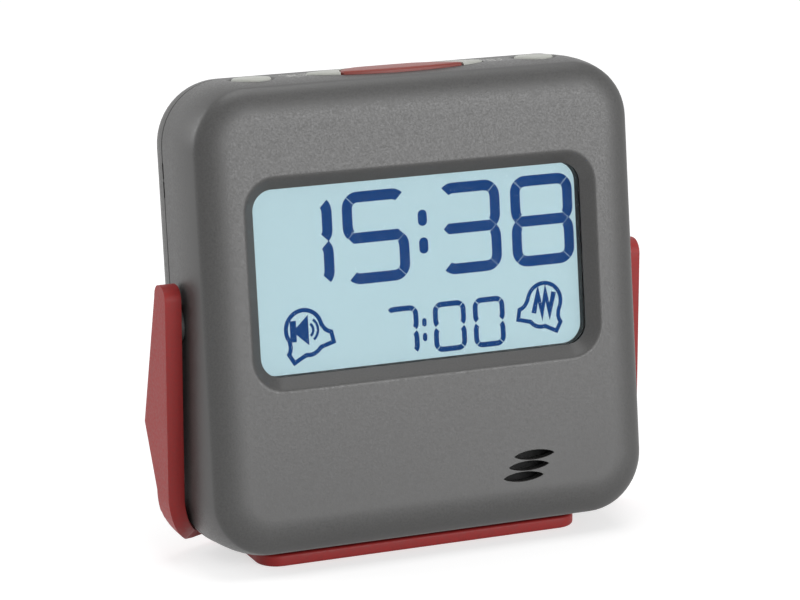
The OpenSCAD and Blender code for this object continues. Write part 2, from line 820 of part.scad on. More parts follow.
module speaker_cone() color("ivory") at_speaker() rotate([-90, 0, 0]) rotate_extrude() {
    edge = speaker_r - basket_rim - 2 * snug;
    deep = basket_y + basket_step + cone_t;
    polygon([
        [0, deep - 2 * cone_t], [cone_r, deep - cone_t], [edge, basket_y + cone_t / 2],
        [edge, basket_y + cone_t], [cone_r, deep], [0, deep - cone_t]
    ]);
}

module speaker_magnet() color("silver") at_speaker()
    bar_y(basket_y + basket_t, basket_y + basket_t + magnet_t, magnet_r);

module at_motor() in_case() translate([motor_x, motor_y, motor_z]) children();

module motor_can() color("silver") at_motor() difference() {
    bar_x(-motor_l / 2, motor_l / 2, motor_r);
    bar_x(motor_l / 2 - shaft_seat - loose, motor_l / 2 + cut, shaft_r + snug);
}

module motor_boot() color("black") at_motor() difference() {
    bar_x(-boot_l / 2, boot_l / 2, boot_r);
    bar_x(-boot_l, boot_l, motor_r + snug);
}

module motor_strap() color("silver") at_motor() {
    half_l = boot_l / 3;
    ear_reach = boot_r + strap_ear;
    difference() {
        union() {
            bar_x(-half_l, half_l, boot_r + strap_t);
            translate([-half_l, 0, -ear_reach]) cube([2 * half_l, strap_t, 2 * ear_reach]);
        }
        bar_x(-boot_l, boot_l, boot_r + snug);
        translate([-boot_l, -2 * boot_r, -2 * ear_reach])
            cube([2 * boot_l, 2 * boot_r + snug, 4 * ear_reach]);
        for (s = [-1, 1]) translate([0, 0, s * strap_hole_z])
            bar_y(-cut, strap_t + cut, board_screw_r + cut);
    }
}

module strap_screws() color("silver") at_motor()
    for (s = [-1, 1]) translate([0, strap_t, s * strap_hole_z])
        screw_y(board_screw_r, strap_screw_l, strap_head_r, strap_head_t);

module motor_rotor() color("goldenrod") at_motor() {
    bar_x(motor_l / 2 - shaft_seat, motor_l / 2 + shaft_l, shaft_r);
    translate([motor_l / 2 + weight_gap, 0, 0]) intersection() {
        bar_x(0, weight_l, weight_r);
        translate([0, -weight_r, -weight_r]) cube([weight_l, 2 * weight_r, weight_r + shaft_r]);
    }
}

// A round cell along x with its plus nub at the +x end
module cell() {
    bar_x(-battery_l / 2, battery_l / 2 - nub_t, battery_dia / 2);
    bar_x(battery_l / 2 - nub_t - cut, battery_l / 2, nub_r);
}

module at_cell(s) in_case() translate([0, battery_y, bay_z + s * battery_pitch / 2]) children();

module battery_upper() color("slategray") at_cell(1) translate([battery_x, 0, 0]) cell();

module battery_lower() color("slategray") at_cell(-1) mirror([1, 0, 0]) translate([battery_x, 0, 0]) cell();

// Flat contact plate against the right end of the bay
module contact_plate(h) translate([bay_w / 2 - contact_t, -contact_w / 2, -h / 2])
    cube([contact_t, contact_w, h]);

// Leaf spring that bows from the plate to the flat end of a cell
module contact_leaf() {
    reach = bay_w / 2 - contact_t - (battery_l / 2 - battery_x) - loose;
    r = (pow(contact_w / 2, 2) + reach * reach) / (2 * reach);
    translate([bay_w / 2 - contact_t - reach + r, 0, 0]) intersection() {
        difference() {
            cylinder(h = leaf_w, r = r, center = true, $fn = 96);
            cylinder(h = leaf_w + cut, r = r - contact_t, center = true, $fn = 96);
        }
        translate([-r, -contact_w / 2, -leaf_w]) cube([reach + snug, contact_w, 2 * leaf_w]);
    }
}

module link_contact() color("gold") in_case() translate([0, battery_y, bay_z]) mirror([1, 0, 0]) {
    contact_plate(battery_pitch + contact_w);
    translate([0, 0, battery_pitch / 2]) contact_leaf();
}

module plus_contact() color("gold") at_cell(1) contact_plate(contact_w);

module minus_contact() color("gold") at_cell(-1) {
    contact_plate(contact_w);
    contact_leaf();
}

module battery_door() color("dimgray") in_case() translate([0, door_y, door_low]) difference() {
    union() {
        bar_x(-door_w / 2, door_w / 2, door_t / 2);
        translate([-door_w / 2, -door_t / 2, 0]) cube([door_w, door_t, door_high - door_low]);
        bar_x(-door_w / 2 - loose - door_pin_l, door_w / 2 + loose + door_pin_l, door_pin_r);
    }
    translate([0, door_t / 2 + grip_r - grip_depth, door_high - door_low - grip_drop])
        bar_x(-grip_w / 2, grip_w / 2, grip_r);
}

stand_yoke();
friction_washers();
pivot_clips();
pivot_screws();
front_shell();
rear_shell();
case_screws();
window();
display_gasket();
display_glass();
display_frame();
light_guide();
backlight_leds();
contact_strips();
main_board();
clock_chip();
quartz_crystal();
supply_capacitor();
board_screws();
snooze_key();
snooze_insert();
sound_key();
vibration_key();
key_board();
key_switches();
key_board_screws();
time_key();
alarm_key();
up_key();
down_key();
set_switches();
speaker_gasket();
speaker_basket();
speaker_cone();
speaker_magnet();
motor_can();
motor_boot();
motor_strap();
strap_screws();
motor_rotor();
battery_upper();
battery_lower();
link_contact();
plus_contact();
minus_contact();
battery_door();
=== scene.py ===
import math

import bmesh
import bpy
from mathutils import Matrix, Vector


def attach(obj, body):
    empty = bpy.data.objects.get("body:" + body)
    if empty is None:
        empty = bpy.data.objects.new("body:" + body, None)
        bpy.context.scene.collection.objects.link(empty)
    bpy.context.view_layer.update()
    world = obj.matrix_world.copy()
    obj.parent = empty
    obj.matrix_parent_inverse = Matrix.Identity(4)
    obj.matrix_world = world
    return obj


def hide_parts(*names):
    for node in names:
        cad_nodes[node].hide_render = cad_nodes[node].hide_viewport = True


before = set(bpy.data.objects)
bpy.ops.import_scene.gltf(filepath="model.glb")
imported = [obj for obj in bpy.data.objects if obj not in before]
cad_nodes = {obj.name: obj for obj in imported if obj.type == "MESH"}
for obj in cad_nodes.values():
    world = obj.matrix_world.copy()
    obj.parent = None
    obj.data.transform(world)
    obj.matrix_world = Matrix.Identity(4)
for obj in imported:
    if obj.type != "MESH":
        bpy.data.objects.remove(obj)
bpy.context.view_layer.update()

# Sizes of the clock in millimetres.
# The case is drawn upright: x to the right, y behind its face, z up.
MM = 0.001
CASE_W, CASE_H, CASE_D = 85.0, 84.0, 25.0
CORNER_R, CORNER_MIN = 11.4, 1.5
FRONT_SOFT_W, FRONT_SOFT_D = 2.5, 11.5
FACE_ROUND_W, FACE_ROUND_D = 5.0, 2.7
BACK_SOFT_W, BACK_SOFT_D = 8.0, 7.7
BACK_START = CASE_D - BACK_SOFT_D
WALL, PARTING, SEAM_BEVEL = 2.0, 16.0, 0.24
PIVOT = Vector((0, -1.1906, 43.6734))
PIVOT_D, LEAN = 12.5, math.radians(7.5)
VIEW_W, VIEW_H, VIEW_R, VIEW_Z = 62.985, 33.012, 3.7, 6.64
RIM_D = 1.9
TOP_Z, KEY_Y, KEY_PROUD, KEY_GAP = 42.0, 10.0, 0.3, 0.25
FLANGE_TOP, FLANGE_T, FLANGE_W = 39.0952, 0.8, 0.8
STEM_LOW, STEM_R = 37.1952, 1.4
SNOOZE_L, SNOOZE_D = 34.0, 10.4
ALARM_L, ALARM_D, ALARM_X = 7.0, 7.6, 27.302
INSERT_R, INSERT_DEPTH, INSERT_Y = 12.0, 1.6, -5.6
SET_R, SET_Z, SET_X = 3.5, 14.0, (-18.0, -6.0, 6.0, 18.0)
SCREW_X, SCREW_Z, SCREW_SEAT = 30.5, 30.0, 19.5
BAY_W, BAY_TOP, BAY_LOW, BAY_FRONT, BAY_WALL = 49.5, -11.3, -33.5, 12.2, 1.0
DOOR_W, DOOR_Y, DOOR_T, HINGE_Z, DOOR_HIGH = 48.9, 24.15, 1.6, -32.4, -11.6
SLOT_L, SLOT_H, SLOT_X, SLOT_Z = 7.8, 1.7, 18.0, -30.7
STAND_W, ARM_T, FOOT_LIP = 92.5, 3.0, 2.2
# Joined shapes run into each other by OVERLAP, and cuts run past a wall by FLUSH or PAST.
OVERLAP, FLUSH, PAST = 0.1, 0.01, 1.0

TO_CASE = (Matrix.Scale(MM, 4) @ Matrix.Translation(PIVOT) @ Matrix.Rotation(-LEAN, 4, "X")
           @ Matrix.Translation((0, -PIVOT_D, 0)))
TO_STAND = Matrix.Scale(MM, 4) @ Matrix.Translation((0, PIVOT.y, 0))


# Meshes

def full_turn(count):
    return [2 * math.pi * k / count for k in range(count)]


def quarter_turn(steps):
    return [math.pi / 2 * k / steps for k in range(steps + 1)]


def ring(w, h, r, y, z=0.0, steps=14):
    """Rounded rectangle seen from the front, at depth y."""
    points = []
    for sx, sz, start in ((1, 1, 0), (-1, 1, 90), (-1, -1, 180), (1, -1, 270)):
        for k in range(steps + 1):
            a = math.radians(start + 90 * k / steps)
            px = sx * (w / 2 - r) + r * math.cos(a)
            pz = z + sz * (h / 2 - r) + r * math.sin(a)
            points.append((px, y, pz))
    return points


def case_ring(y, inset):
    return ring(CASE_W - 2 * inset, CASE_H - 2 * inset, max(CORNER_R - inset, CORNER_MIN), y)


def oval_ring(l, d, z, x=0.0, y=KEY_Y, count=72):
    """Ellipse seen from above, at height z."""
    return [(x + l / 2 * math.cos(a), y + d / 2 * math.sin(a), z) for a in full_turn(count)]


def round_ring(r, y, x=0.0, z=0.0, count=48):
    """Circle seen from the front, at depth y."""
    return [(x + r * math.cos(a), y, z + r * math.sin(a)) for a in full_turn(count)]


def side_ring(r, x, y, z, count=48):
    """Circle seen from the side, at distance x."""
    return [(x, y + r * math.cos(a), z + r * math.sin(a)) for a in full_turn(count)]


def loft(rings, closed=False):
    """Vertices and faces of a skin over rings with the same number of points."""
    n = len(rings[0])
    points = [p for one in rings for p in one]
    faces = []
    for i in range(len(rings) if closed else len(rings) - 1):
        a, b = i * n, (i + 1) % len(rings) * n
        faces += [(a + k, a + (k + 1) % n, b + (k + 1) % n, b + k) for k in range(n)]
    if not closed:
        faces.append(tuple(range(n)))
        faces.append(tuple(range(len(points) - n, len(points))))
    return points, faces


def plate(outline, lift, thick):
    """Flat sign: lift(u, v, d) places a point of the outline at height d above its ground."""
    return loft([[lift(u, v, 0.0) for u, v in outline], [lift(u, v, thick) for u, v in outline]])


def gather(*parts):
    points, faces = [], []
    for p, f in parts:
        faces += [tuple(i + len(points) for i in face) for face in f]
        points += p
    return points, faces


def solid(name, shape, bands=None):
    """Mesh object in millimetres, its faces turned outwards."""
    mesh = bpy.data.meshes.new(name)
    mesh.from_pydata(shape[0], [], shape[1])
    for polygon, index in zip(mesh.polygons, bands or ()):
        polygon.material_index = index
    work = bmesh.new()
    work.from_mesh(mesh)
    bmesh.ops.remove_doubles(work, verts=work.verts, dist=1e-5)
    bmesh.ops.recalc_face_normals(work, faces=work.faces)
    work.to_mesh(mesh)
    work.free()
    made = bpy.data.objects.new(name, mesh)
    bpy.context.scene.collection.objects.link(made)
    return made


def settle(made):
    """Turns the object's modifiers into a plain mesh."""
    graph = bpy.context.evaluated_depsgraph_get()
    mesh = bpy.data.meshes.new_from_object(made.evaluated_get(graph))
    old = made.data
    made.modifiers.clear()
    made.data = mesh
    mesh.name = made.name
    bpy.data.meshes.remove(old)
    return made


def merge(made, tool, operation):
    """Joins the tool to the object or cuts it away, and removes the tool."""
    step = made.modifiers.new("step", "BOOLEAN")
    step.operation = operation
    step.solver = "EXACT"
    step.object = tool
    settle(made)
    bpy.data.objects.remove(tool)
    return made


def combine(made, shape, operation):
    return merge(made, solid("tool", shape), operation)


def dress(made, place, body, materials, stands_for=(), smooth=32):
    """Puts a piece where it belongs, with its finish, on its body."""
    made.data.transform(place)
    made.data.materials.clear()
    for material in materials:
        made.data.materials.append(material)
    made.data.polygons.foreach_set("use_smooth", [True] * len(made.data.polygons))
    made.data.set_sharp_from_angle(angle=math.radians(smooth))
    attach(made, body)
    if stands_for:
        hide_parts(*stands_for)
    return made


# Finishes

# Part of a noise pattern's range that is used, and the pattern's roughness
NOISE_LOW, NOISE_HIGH, NOISE_ROUGH = 0.3, 0.7, 0.55
WHITE = (1, 1, 1)


class Nodes:
    """A node tree under construction."""

    def __init__(self, tree):
        self.tree = tree

    def add(self, kind, inputs=(), **settings):
        """Node whose inputs are given as sockets to link, as lists of them or as values."""
        node = self.tree.nodes.new(kind)
        for key, value in settings.items():
            setattr(node, key, value)
        for socket, value in dict(inputs).items():
            if isinstance(value, bpy.types.NodeSocket):
                value = [value]
            if isinstance(value, list):
                for source in value:
                    self.tree.links.new(source, node.inputs[socket])
            else:
                node.inputs[socket].default_value = value
        return node


class Finish(Nodes):
    """A Principled material whose patterns read Object coordinates."""

    def __init__(self, name, **constants):
        self.material = bpy.data.materials.new(name)
        self.material.use_nodes = True
        super().__init__(self.material.node_tree)
        self.shader = self.tree.nodes["Principled BSDF"]
        self.place = self.add("ShaderNodeTexCoord").outputs["Object"]
        for socket, value in constants.items():
            self.shader.inputs[socket.replace("_", " ")].default_value = value

    def feed(self, socket, source):
        self.tree.links.new(source, self.shader.inputs[socket])

    def stretched(self, scale, turn=(0, 0, 0)):
        return self.add("ShaderNodeMapping", {"Scale": scale, "Rotation": turn,
                                              "Vector": self.place}).outputs["Vector"]

    def noise(self, scale, detail, vector=None):
        return self.add("ShaderNodeTexNoise", {
            "Scale": scale, "Detail": detail, "Roughness": NOISE_ROUGH,
            "Vector": vector or self.place}).outputs["Fac"]

    def spread(self, value, low, high, from_low=NOISE_LOW, from_high=NOISE_HIGH):
        return self.add("ShaderNodeMapRange", {
            "From Min": from_low, "From Max": from_high, "To Min": low, "To Max": high,
            "Value": value}).outputs["Result"]

    def ramp(self, value, *stops):
        node = self.add("ShaderNodeValToRGB", {"Fac": value})
        node.color_ramp.elements.remove(node.color_ramp.elements[1])
        for i, (at, colour) in enumerate(stops):
            stop = node.color_ramp.elements[0] if i == 0 else node.color_ramp.elements.new(at)
            stop.position = at
            stop.color = (*colour, 1)
        return node.outputs["Color"]

    def two_tone(self, pattern, low, high):
        return self.ramp(pattern, (NOISE_LOW, low), (NOISE_HIGH, high))

    def mix(self, factor, a, b, blend="MIX"):
        a, b = (c if isinstance(c, bpy.types.NodeSocket) else (*c, 1) for c in (a, b))
        return self.add("ShaderNodeMix", {0: factor, 6: a, 7: b}, data_type="RGBA",
                        blend_type=blend).outputs[2]

    def relief(self, height, depth, strength=1.0):
        bump = self.add("ShaderNodeBump", {"Distance": depth, "Strength": strength,
                                           "Height": height})
        self.feed("Normal", bump.outputs["Normal"])


def shade(colour, factor):
    return tuple(min(1.0, c * factor) for c in colour)


def moulded(name, colour, grain=2600, contrast=0.08, gloss=(0.42, 0.56), depth=1.2e-5,
            **constants):
    """Moulded plastic with a fine spark-eroded grain and a slow drift in tone."""
    made = Finish(name, **constants)
    fine = made.noise(grain, 2.0)
    slow = made.noise(55, 3.0)
    base = made.two_tone(fine, shade(colour, 1 - contrast), shade(colour, 1 + contrast))
    drift = made.two_tone(slow, shade(WHITE, 0.95), WHITE)
    made.feed("Base Color", made.mix(1.0, base, drift, "MULTIPLY"))
    made.feed("Roughness", made.spread(fine, *gloss))
    made.relief(fine, depth, 0.6)
    return made.material


def metal(name, colour, gloss=(0.2, 0.38), stretch=(1, 1, 14)):
    """Metal with fine drawn lines along one way."""
    made = Finish(name, Metallic=1.0)
    lines = made.noise(900, 4.0, made.stretched(stretch))
    stain = made.noise(160, 3.0)
    base = made.two_tone(lines, shade(colour, 0.86), shade(colour, 1.06))
    spots = made.ramp(stain, (0.35, shade(colour, 0.7)), (0.65, colour))
    made.feed("Base Color", made.mix(0.25, base, spots))
    made.feed("Roughness", made.spread(lines, *gloss))
    made.relief(lines, 4e-6, 0.5)
    return made.material


def circuit(name, mask, trace):
    """Green solder mask over straight copper tracks."""
    made = Finish(name, Roughness=0.35)
    flat = made.stretched((1, 1, 1), (math.radians(90) - LEAN, 0, 0))
    tracks = made.add("ShaderNodeTexBrick", {
        "Scale": 1.0, "Mortar Size": 0.00028, "Brick Width": 0.0063, "Row Height": 0.0021,
        "Mortar Smooth": 0.1, "Vector": flat}, offset=0.37, squash=1.6, squash_frequency=3)
    weave = made.noise(1500, 2.0)
    mask_tone = made.two_tone(weave, shade(mask, 0.85), shade(mask, 1.1))
    made.feed("Base Color", made.mix(tracks.outputs["Fac"], mask_tone, trace))
    made.relief(tracks.outputs["Fac"], 2e-5)
    return made.material


# Distances from a cell's middle, in metres, between which its sleeve ends
BAND_EDGE = (0.0142, 0.0144)


def wrapped_cell(name, band, sleeve):
    """Printed film on a cell: a plain band at each end and a darker sleeve between."""
    made = Finish(name, Roughness=0.28, Coat_Weight=0.3)
    split = made.add("ShaderNodeSeparateXYZ", {"Vector": made.place})
    ends = made.add("ShaderNodeMath", {0: split.outputs["X"]}, operation="ABSOLUTE")
    scuffs = made.noise(420, 4.0, made.stretched((0.3, 1, 1)))
    film = made.ramp(scuffs, (0.35, shade(sleeve, 0.8)), (0.7, shade(sleeve, 1.2)))
    here = made.spread(ends.outputs[0], 0.0, 1.0, *BAND_EDGE)
    made.feed("Base Color", made.mix(here, film, band))
    made.relief(scuffs, 6e-6, 0.4)
    return made.material


def glowing(name, strength, lit_share, tone_of):
    """Dull finish that glows in a tone, with a share of that tone under the light."""
    made = Finish(name, Roughness=0.5, Emission_Strength=strength, Specular_IOR_Level=0.0)
    tone = tone_of(made)
    made.feed("Base Color", made.mix(1.0, tone, shade(WHITE, lit_share), "MULTIPLY"))
    made.feed("Emission Color", tone)
    return made.material


def lit_panel(name, colour, edge):
    """Display glass lit from behind, with a slow drift between two tones."""
    def tone(made):
        slow = made.noise(26, 2.0, made.stretched((1, 0.6, 1)))
        fine = made.noise(3200, 1.0)
        drift = made.mix(made.spread(slow, 0.0, 1.0), edge, colour)
        return made.mix(1.0, drift, made.two_tone(fine, shade(WHITE, 0.985), WHITE), "MULTIPLY")
    return glowing(name, 0.8, 0.15, tone)


def segment_ink(name, colour):
    """Dark liquid-crystal segments, with the light of the panel bleeding through."""
    def tone(made):
        return made.two_tone(made.noise(2400, 2.0), shade(colour, 0.96), shade(colour, 1.05))
    return glowing(name, 0.5, 0.4, tone)


def clear_window(name):
    """Clear window with a faint anti-glare grain."""
    made = Finish(name, Transmission_Weight=1.0, IOR=1.05, Base_Color=(0.985, 0.99, 0.99, 1))
    made.feed("Roughness", made.spread(made.noise(1800, 2.0), 0.02, 0.06))
    return made.material


case_grey = moulded("satin_case_grey", (0.036, 0.0355, 0.0345), grain=3000, contrast=0.3,
                    gloss=(0.34, 0.54), depth=1.3e-5, Specular_IOR_Level=0.75)
rim_grey = moulded("rim_dark_grey", (0.056, 0.055, 0.0535), grain=3400, contrast=0.05,
                   gloss=(0.42, 0.5), Specular_IOR_Level=0.35)
stand_red = moulded("stand_red", (0.3, 0.013, 0.012), grain=1900, contrast=0.1,
                    gloss=(0.46, 0.62), depth=2.4e-5, Specular_IOR_Level=0.44)
insert_red = moulded("insert_red", (0.21, 0.024, 0.014), grain=2600, contrast=0.04,
                     gloss=(0.4, 0.5), depth=6e-6, Specular_IOR_Level=0.5)
key_grey = moulded("key_pale_grey", (0.48, 0.49, 0.45), grain=2600, contrast=0.03,
                   gloss=(0.4, 0.5), depth=6e-6, Specular_IOR_Level=0.35)
print_grey = moulded("print_pale_grey", (0.4, 0.4, 0.385), grain=3000, contrast=0.05, depth=4e-6)
white_plastic = moulded("white_plastic", (0.72, 0.72, 0.7), contrast=0.04)
black_plastic = moulded("black_plastic", (0.018, 0.018, 0.019), contrast=0.2)
black_rubber = moulded("black_rubber", (0.024, 0.023, 0.023), grain=1200, contrast=0.25,
                       gloss=(0.6, 0.85))
cone_paper = moulded("cone_black_paper", (0.014, 0.014, 0.014), grain=900, contrast=0.35,
                     gloss=(0.75, 0.95))
sleeve_blue = moulded("capacitor_sleeve_blue", (0.02, 0.045, 0.13), contrast=0.1,
                      gloss=(0.25, 0.35))
lamp_yellow = moulded("lamp_pale_yellow", (0.74, 0.66, 0.36), contrast=0.05, gloss=(0.2, 0.3))
steel = metal("drawn_steel", (0.56, 0.56, 0.57))
brass = metal("plated_brass", (0.74, 0.56, 0.28))
board_green = circuit("board_green", (0.02, 0.13, 0.055), (0.07, 0.27, 0.11))
cell_wrap = wrapped_cell("cell_wrap", (0.62, 0.33, 0.1), (0.05, 0.052, 0.06))
panel_blue = lit_panel("panel_pale_blue", (0.482, 0.662, 0.716), (0.468, 0.65, 0.71))
ink_navy = segment_ink("segment_navy", (0.0135, 0.054, 0.19))
window_clear = clear_window("window_clear")

CARRIED = (
    (case_grey, ("friction_washers",)),
    (window_clear, ("window",)),
    (panel_blue, ("display_glass",)),
    (lamp_yellow, ("backlight_leds",)),
    (sleeve_blue, ("supply_capacitor",)),
    (cone_paper, ("speaker_cone",)),
    (board_green, ("main_board", "key_board")),
    (cell_wrap, ("battery_upper", "battery_lower")),
    (white_plastic, ("display_frame", "light_guide")),
    (black_plastic, ("clock_chip", "key_switches", "set_switches", "speaker_basket")),
    (black_rubber, ("display_gasket", "contact_strips", "speaker_gasket", "motor_boot")),
    (brass, ("motor_rotor", "link_contact", "plus_contact", "minus_contact")),
    (steel, ("pivot_clips", "pivot_screws", "quartz_crystal", "board_screws", "key_board_screws",
             "speaker_magnet", "motor_can", "motor_strap", "strap_screws")),
)
for material, names in CARRIED:
    for name in names:
        cad_nodes[name].data.materials.clear()
        cad_nodes[name].data.materials.append(material)


# Front shell

# Depth and growth of the opening along its sloping rim, and inside of the front edge
RIM_SLOPE = ((RIM_D, 0.0), (1.3, 0.69), (0.6, 1.5), (0.22, 1.96), (0.06, 2.2), (0.0, 2.5))
RIM_EDGE, SEAM_LAND = 2.7, 0.3
INNER_SOFT = ((FRONT_SOFT_D, 0.0), (6.0, 0.3), (3.5, 0.8), (WALL, 1.6))
DISH_W, DISH_D = 1.0, 0.95
BOSS_R, BOSS_BORE, BOSS_BORE_Y, BOSS_PAST = 2.6, 1.35, 7.5, 0.5
POST_R, POST_BORE, POST_END, POST_BORE_END = 2.0, 0.85, 7.44, 8.0
POST_LOW_Z, POST_HIGH_X, POST_HIGH_Z = -16.32, 9.855, 30.5
SPEAKER_OUT, SPEAKER_IN, SPEAKER_END, SPEAKER_UP = 9.05, 8.05, 5.85, 1.2
KEY_POST_X, KEY_POST_D, KEY_POST_LOW = 20.7, 3.6, 33.9
KEY_BORE_D, KEY_BORE_LOW, KEY_BORE_HIGH = 1.7, 32.6, 37.2
BEARING_R, BEARING_X, BEARING_BORE, BEARING_BORE_X = 3.1, (39.5, 41.5), 2.55, (39.0, 43.0)
SLOT_STEP_X, SLOT_STEP_Z, SLOT_POINT = 1.17, 1.88, 0.72
SLOT_EDGE = ((0.08, -0.4), (0.08, 0.0), (0.02, 0.05), (0.0, 0.15), (0.0, WALL + 0.3))
NOTCH_IN, NOTCH_HALF, NOTCH_H, NOTCH_Z = 0.8, 0.3, 2.8, (21.95, 25.25)


def round_inset(w, d, y):
    """Inset along a quarter of an ellipse, at a distance from its narrow end."""
    return w * (1 - math.sqrt(1 - (1 - y / d) ** 2)) if y < d else 0.0


def soft_inset(y):
    """Inset of the case at a depth behind its face: the sides' bow and the round into the face."""
    return round_inset(FRONT_SOFT_W, FRONT_SOFT_D, y) + round_inset(FACE_ROUND_W, FACE_ROUND_D, y)


def soft_depths(steps=20):
    """Depths of the rings from the face to the straight sides, closer where the edge turns."""
    near = [FACE_ROUND_D * (1 - math.cos(a)) for a in quarter_turn(steps)]
    run = FRONT_SOFT_D - FACE_ROUND_D
    rest = [FACE_ROUND_D + run * k / steps for k in range(1, steps + 1)]
    return near + rest


def view_ring(y, grow):
    return ring(VIEW_W + 2 * grow, VIEW_H + 2 * grow, VIEW_R + grow, y, VIEW_Z)


def rod_y(r, y0, y1, x, z, flare=0.0):
    rings = [round_ring(r, y0, x, z), round_ring(r, y1, x, z)]
    if flare:
        rings += [round_ring(r + flare, y1 + flare, x, z), round_ring(r + flare, y1 + PAST, x, z)]
    return loft(rings)


def rod_x(r, ends, y, z):
    return loft([side_ring(r, x, y, z) for x in ends])


def rod_pair(r, ends, y, z):
    """The same rod along x on the left and on the right."""
    return [rod_x(r, [s * x for x in ends], y, z) for s in (-1, 1)]


def key_posts(d, heights):
    return [loft([oval_ring(d, d, z, x) for z in heights]) for x in (-KEY_POST_X, KEY_POST_X)]


def block(x0, x1, y0, y1, z0, z1):
    corners = ((x0, z0), (x1, z0), (x1, z1), (x0, z1))
    return loft([[(x, y, z) for x, z in corners] for y in (y0, y1)])


def slot_ring(grow, y, x, z, count=40):
    """Leaf-shaped outline of a sound slot with slightly blunt tips."""
    l, h = SLOT_L / 2 + grow, SLOT_H / 2 + grow
    half = [-math.cos(math.pi * k / count) for k in range(count + 1)]
    leaf = [(x + l * t, h * max(0.0, 1 - t * t) ** SLOT_POINT) for t in half]
    return [(u, y, z + v) for u, v in leaf] + [(u, y, z - v) for u, v in reversed(leaf[1:-1])]


def key_hole(l, d, x, dished):
    low = FLANGE_TOP - FLANGE_T - PAST
    rings = [oval_ring(l + 2 * KEY_GAP, d + 2 * KEY_GAP, low, x)]
    if dished:
        for a in quarter_turn(8):
            grow = KEY_GAP + DISH_W * (1 - math.cos(a))
            z = TOP_Z - DISH_D + DISH_D * math.sin(a)
            rings.append(oval_ring(l + 2 * grow, d + 2 * grow, z, x))
        rim = 2 * (KEY_GAP + DISH_W)
        rings.append(oval_ring(l + rim, d + rim, TOP_Z + PAST, x))
    else:
        rings.append(oval_ring(l + 2 * KEY_GAP, d + 2 * KEY_GAP, TOP_Z + PAST, x))
    return loft(rings)


PRY_NOTCH = [block(-CASE_W / 2 - PAST, -CASE_W / 2 + NOTCH_IN, PARTING - NOTCH_HALF,
                   PARTING + NOTCH_HALF, z, z + NOTCH_H) for z in NOTCH_Z]
CORNERS = [(sx * SCREW_X, sz * SCREW_Z) for sx in (-1, 1) for sz in (-1, 1)]
POSTS = [(-SCREW_X, POST_LOW_Z), (SCREW_X, POST_LOW_Z),
         (-POST_HIGH_X, POST_HIGH_Z), (POST_HIGH_X, POST_HIGH_Z)]


def front_shell():
    rings = [view_ring(WALL, 0.0)] + [view_ring(y, grow) for y, grow in RIM_SLOPE]
    rim_bands = len(rings) - 2
    rings += [view_ring(0.0, RIM_EDGE)]
    rings += [case_ring(y, soft_inset(y)) for y in soft_depths()]
    seam = PARTING - SEAM_BEVEL
    rings += [case_ring(seam - SEAM_LAND, 0.0), case_ring(seam, 0.0),
              case_ring(PARTING, SEAM_BEVEL), case_ring(PARTING, WALL)]
    rings += [case_ring(y, WALL + more) for y, more in INNER_SOFT]
    points, faces = loft(rings, closed=True)
    around = len(rings[0])
    bands = [1 if i // around < rim_bands else 0 for i in range(len(faces))]
    made = solid("front_shell_moulding", (points, faces), bands)
    inside = [rod_y(BOSS_R, WALL - OVERLAP, PARTING - FLUSH, x, z) for x, z in CORNERS]
    inside += [rod_y(POST_R, WALL - OVERLAP, POST_END, x, z) for x, z in POSTS]
    speaker_ring = ((SPEAKER_OUT, WALL - OVERLAP), (SPEAKER_OUT, SPEAKER_END),
                    (SPEAKER_IN, SPEAKER_END), (SPEAKER_IN, WALL - OVERLAP))
    inside.append(loft([round_ring(r, y, SLOT_X, SLOT_Z + SPEAKER_UP) for r, y in speaker_ring],
                       closed=True))
    inside += key_posts(KEY_POST_D, (KEY_POST_LOW, TOP_Z - WALL / 2))
    inside += rod_pair(BEARING_R, BEARING_X, PIVOT_D, 0.0)
    combine(made, gather(*inside), "UNION")
    cuts = [loft([slot_ring(g, y, SLOT_X + s * SLOT_STEP_X, SLOT_Z + s * SLOT_STEP_Z)
                  for g, y in SLOT_EDGE]) for s in (-1, 0, 1)]
    cuts.append(key_hole(SNOOZE_L, SNOOZE_D, 0.0, False))
    cuts += [key_hole(ALARM_L, ALARM_D, s * ALARM_X, True) for s in (-1, 1)]
    cuts += [rod_y(BOSS_BORE, BOSS_BORE_Y, PARTING + BOSS_PAST, x, z) for x, z in CORNERS]
    cuts += [rod_y(POST_BORE, WALL + PAST, POST_BORE_END, x, z) for x, z in POSTS]
    cuts += key_posts(KEY_BORE_D, (KEY_BORE_LOW, KEY_BORE_HIGH))
    cuts += rod_pair(BEARING_BORE, BEARING_BORE_X, PIVOT_D, 0.0)
    combine(made, gather(*cuts, *PRY_NOTCH), "DIFFERENCE")
    return dress(made, TO_CASE, "case", [case_grey, rim_grey], ["front_shell"])


# Rear shell

SEAM_GAP, BACK_FLAT, INSIDE_END, HOLE_EDGE = 0.02, 0.5, CASE_D - 1.5, 0.3
BAY_R, BAY_CHAMFER = 0.5, 0.35
BOSS_BACK_R, BOSS_CLEAR = 4.0, 0.05
SHANK_HOLE, HEAD_HOLE, HEAD_HOLE_EDGE = 1.4, 2.9, 3.2
HINGE_HOLE, HINGE_X = 0.55, (24.0, 25.7)


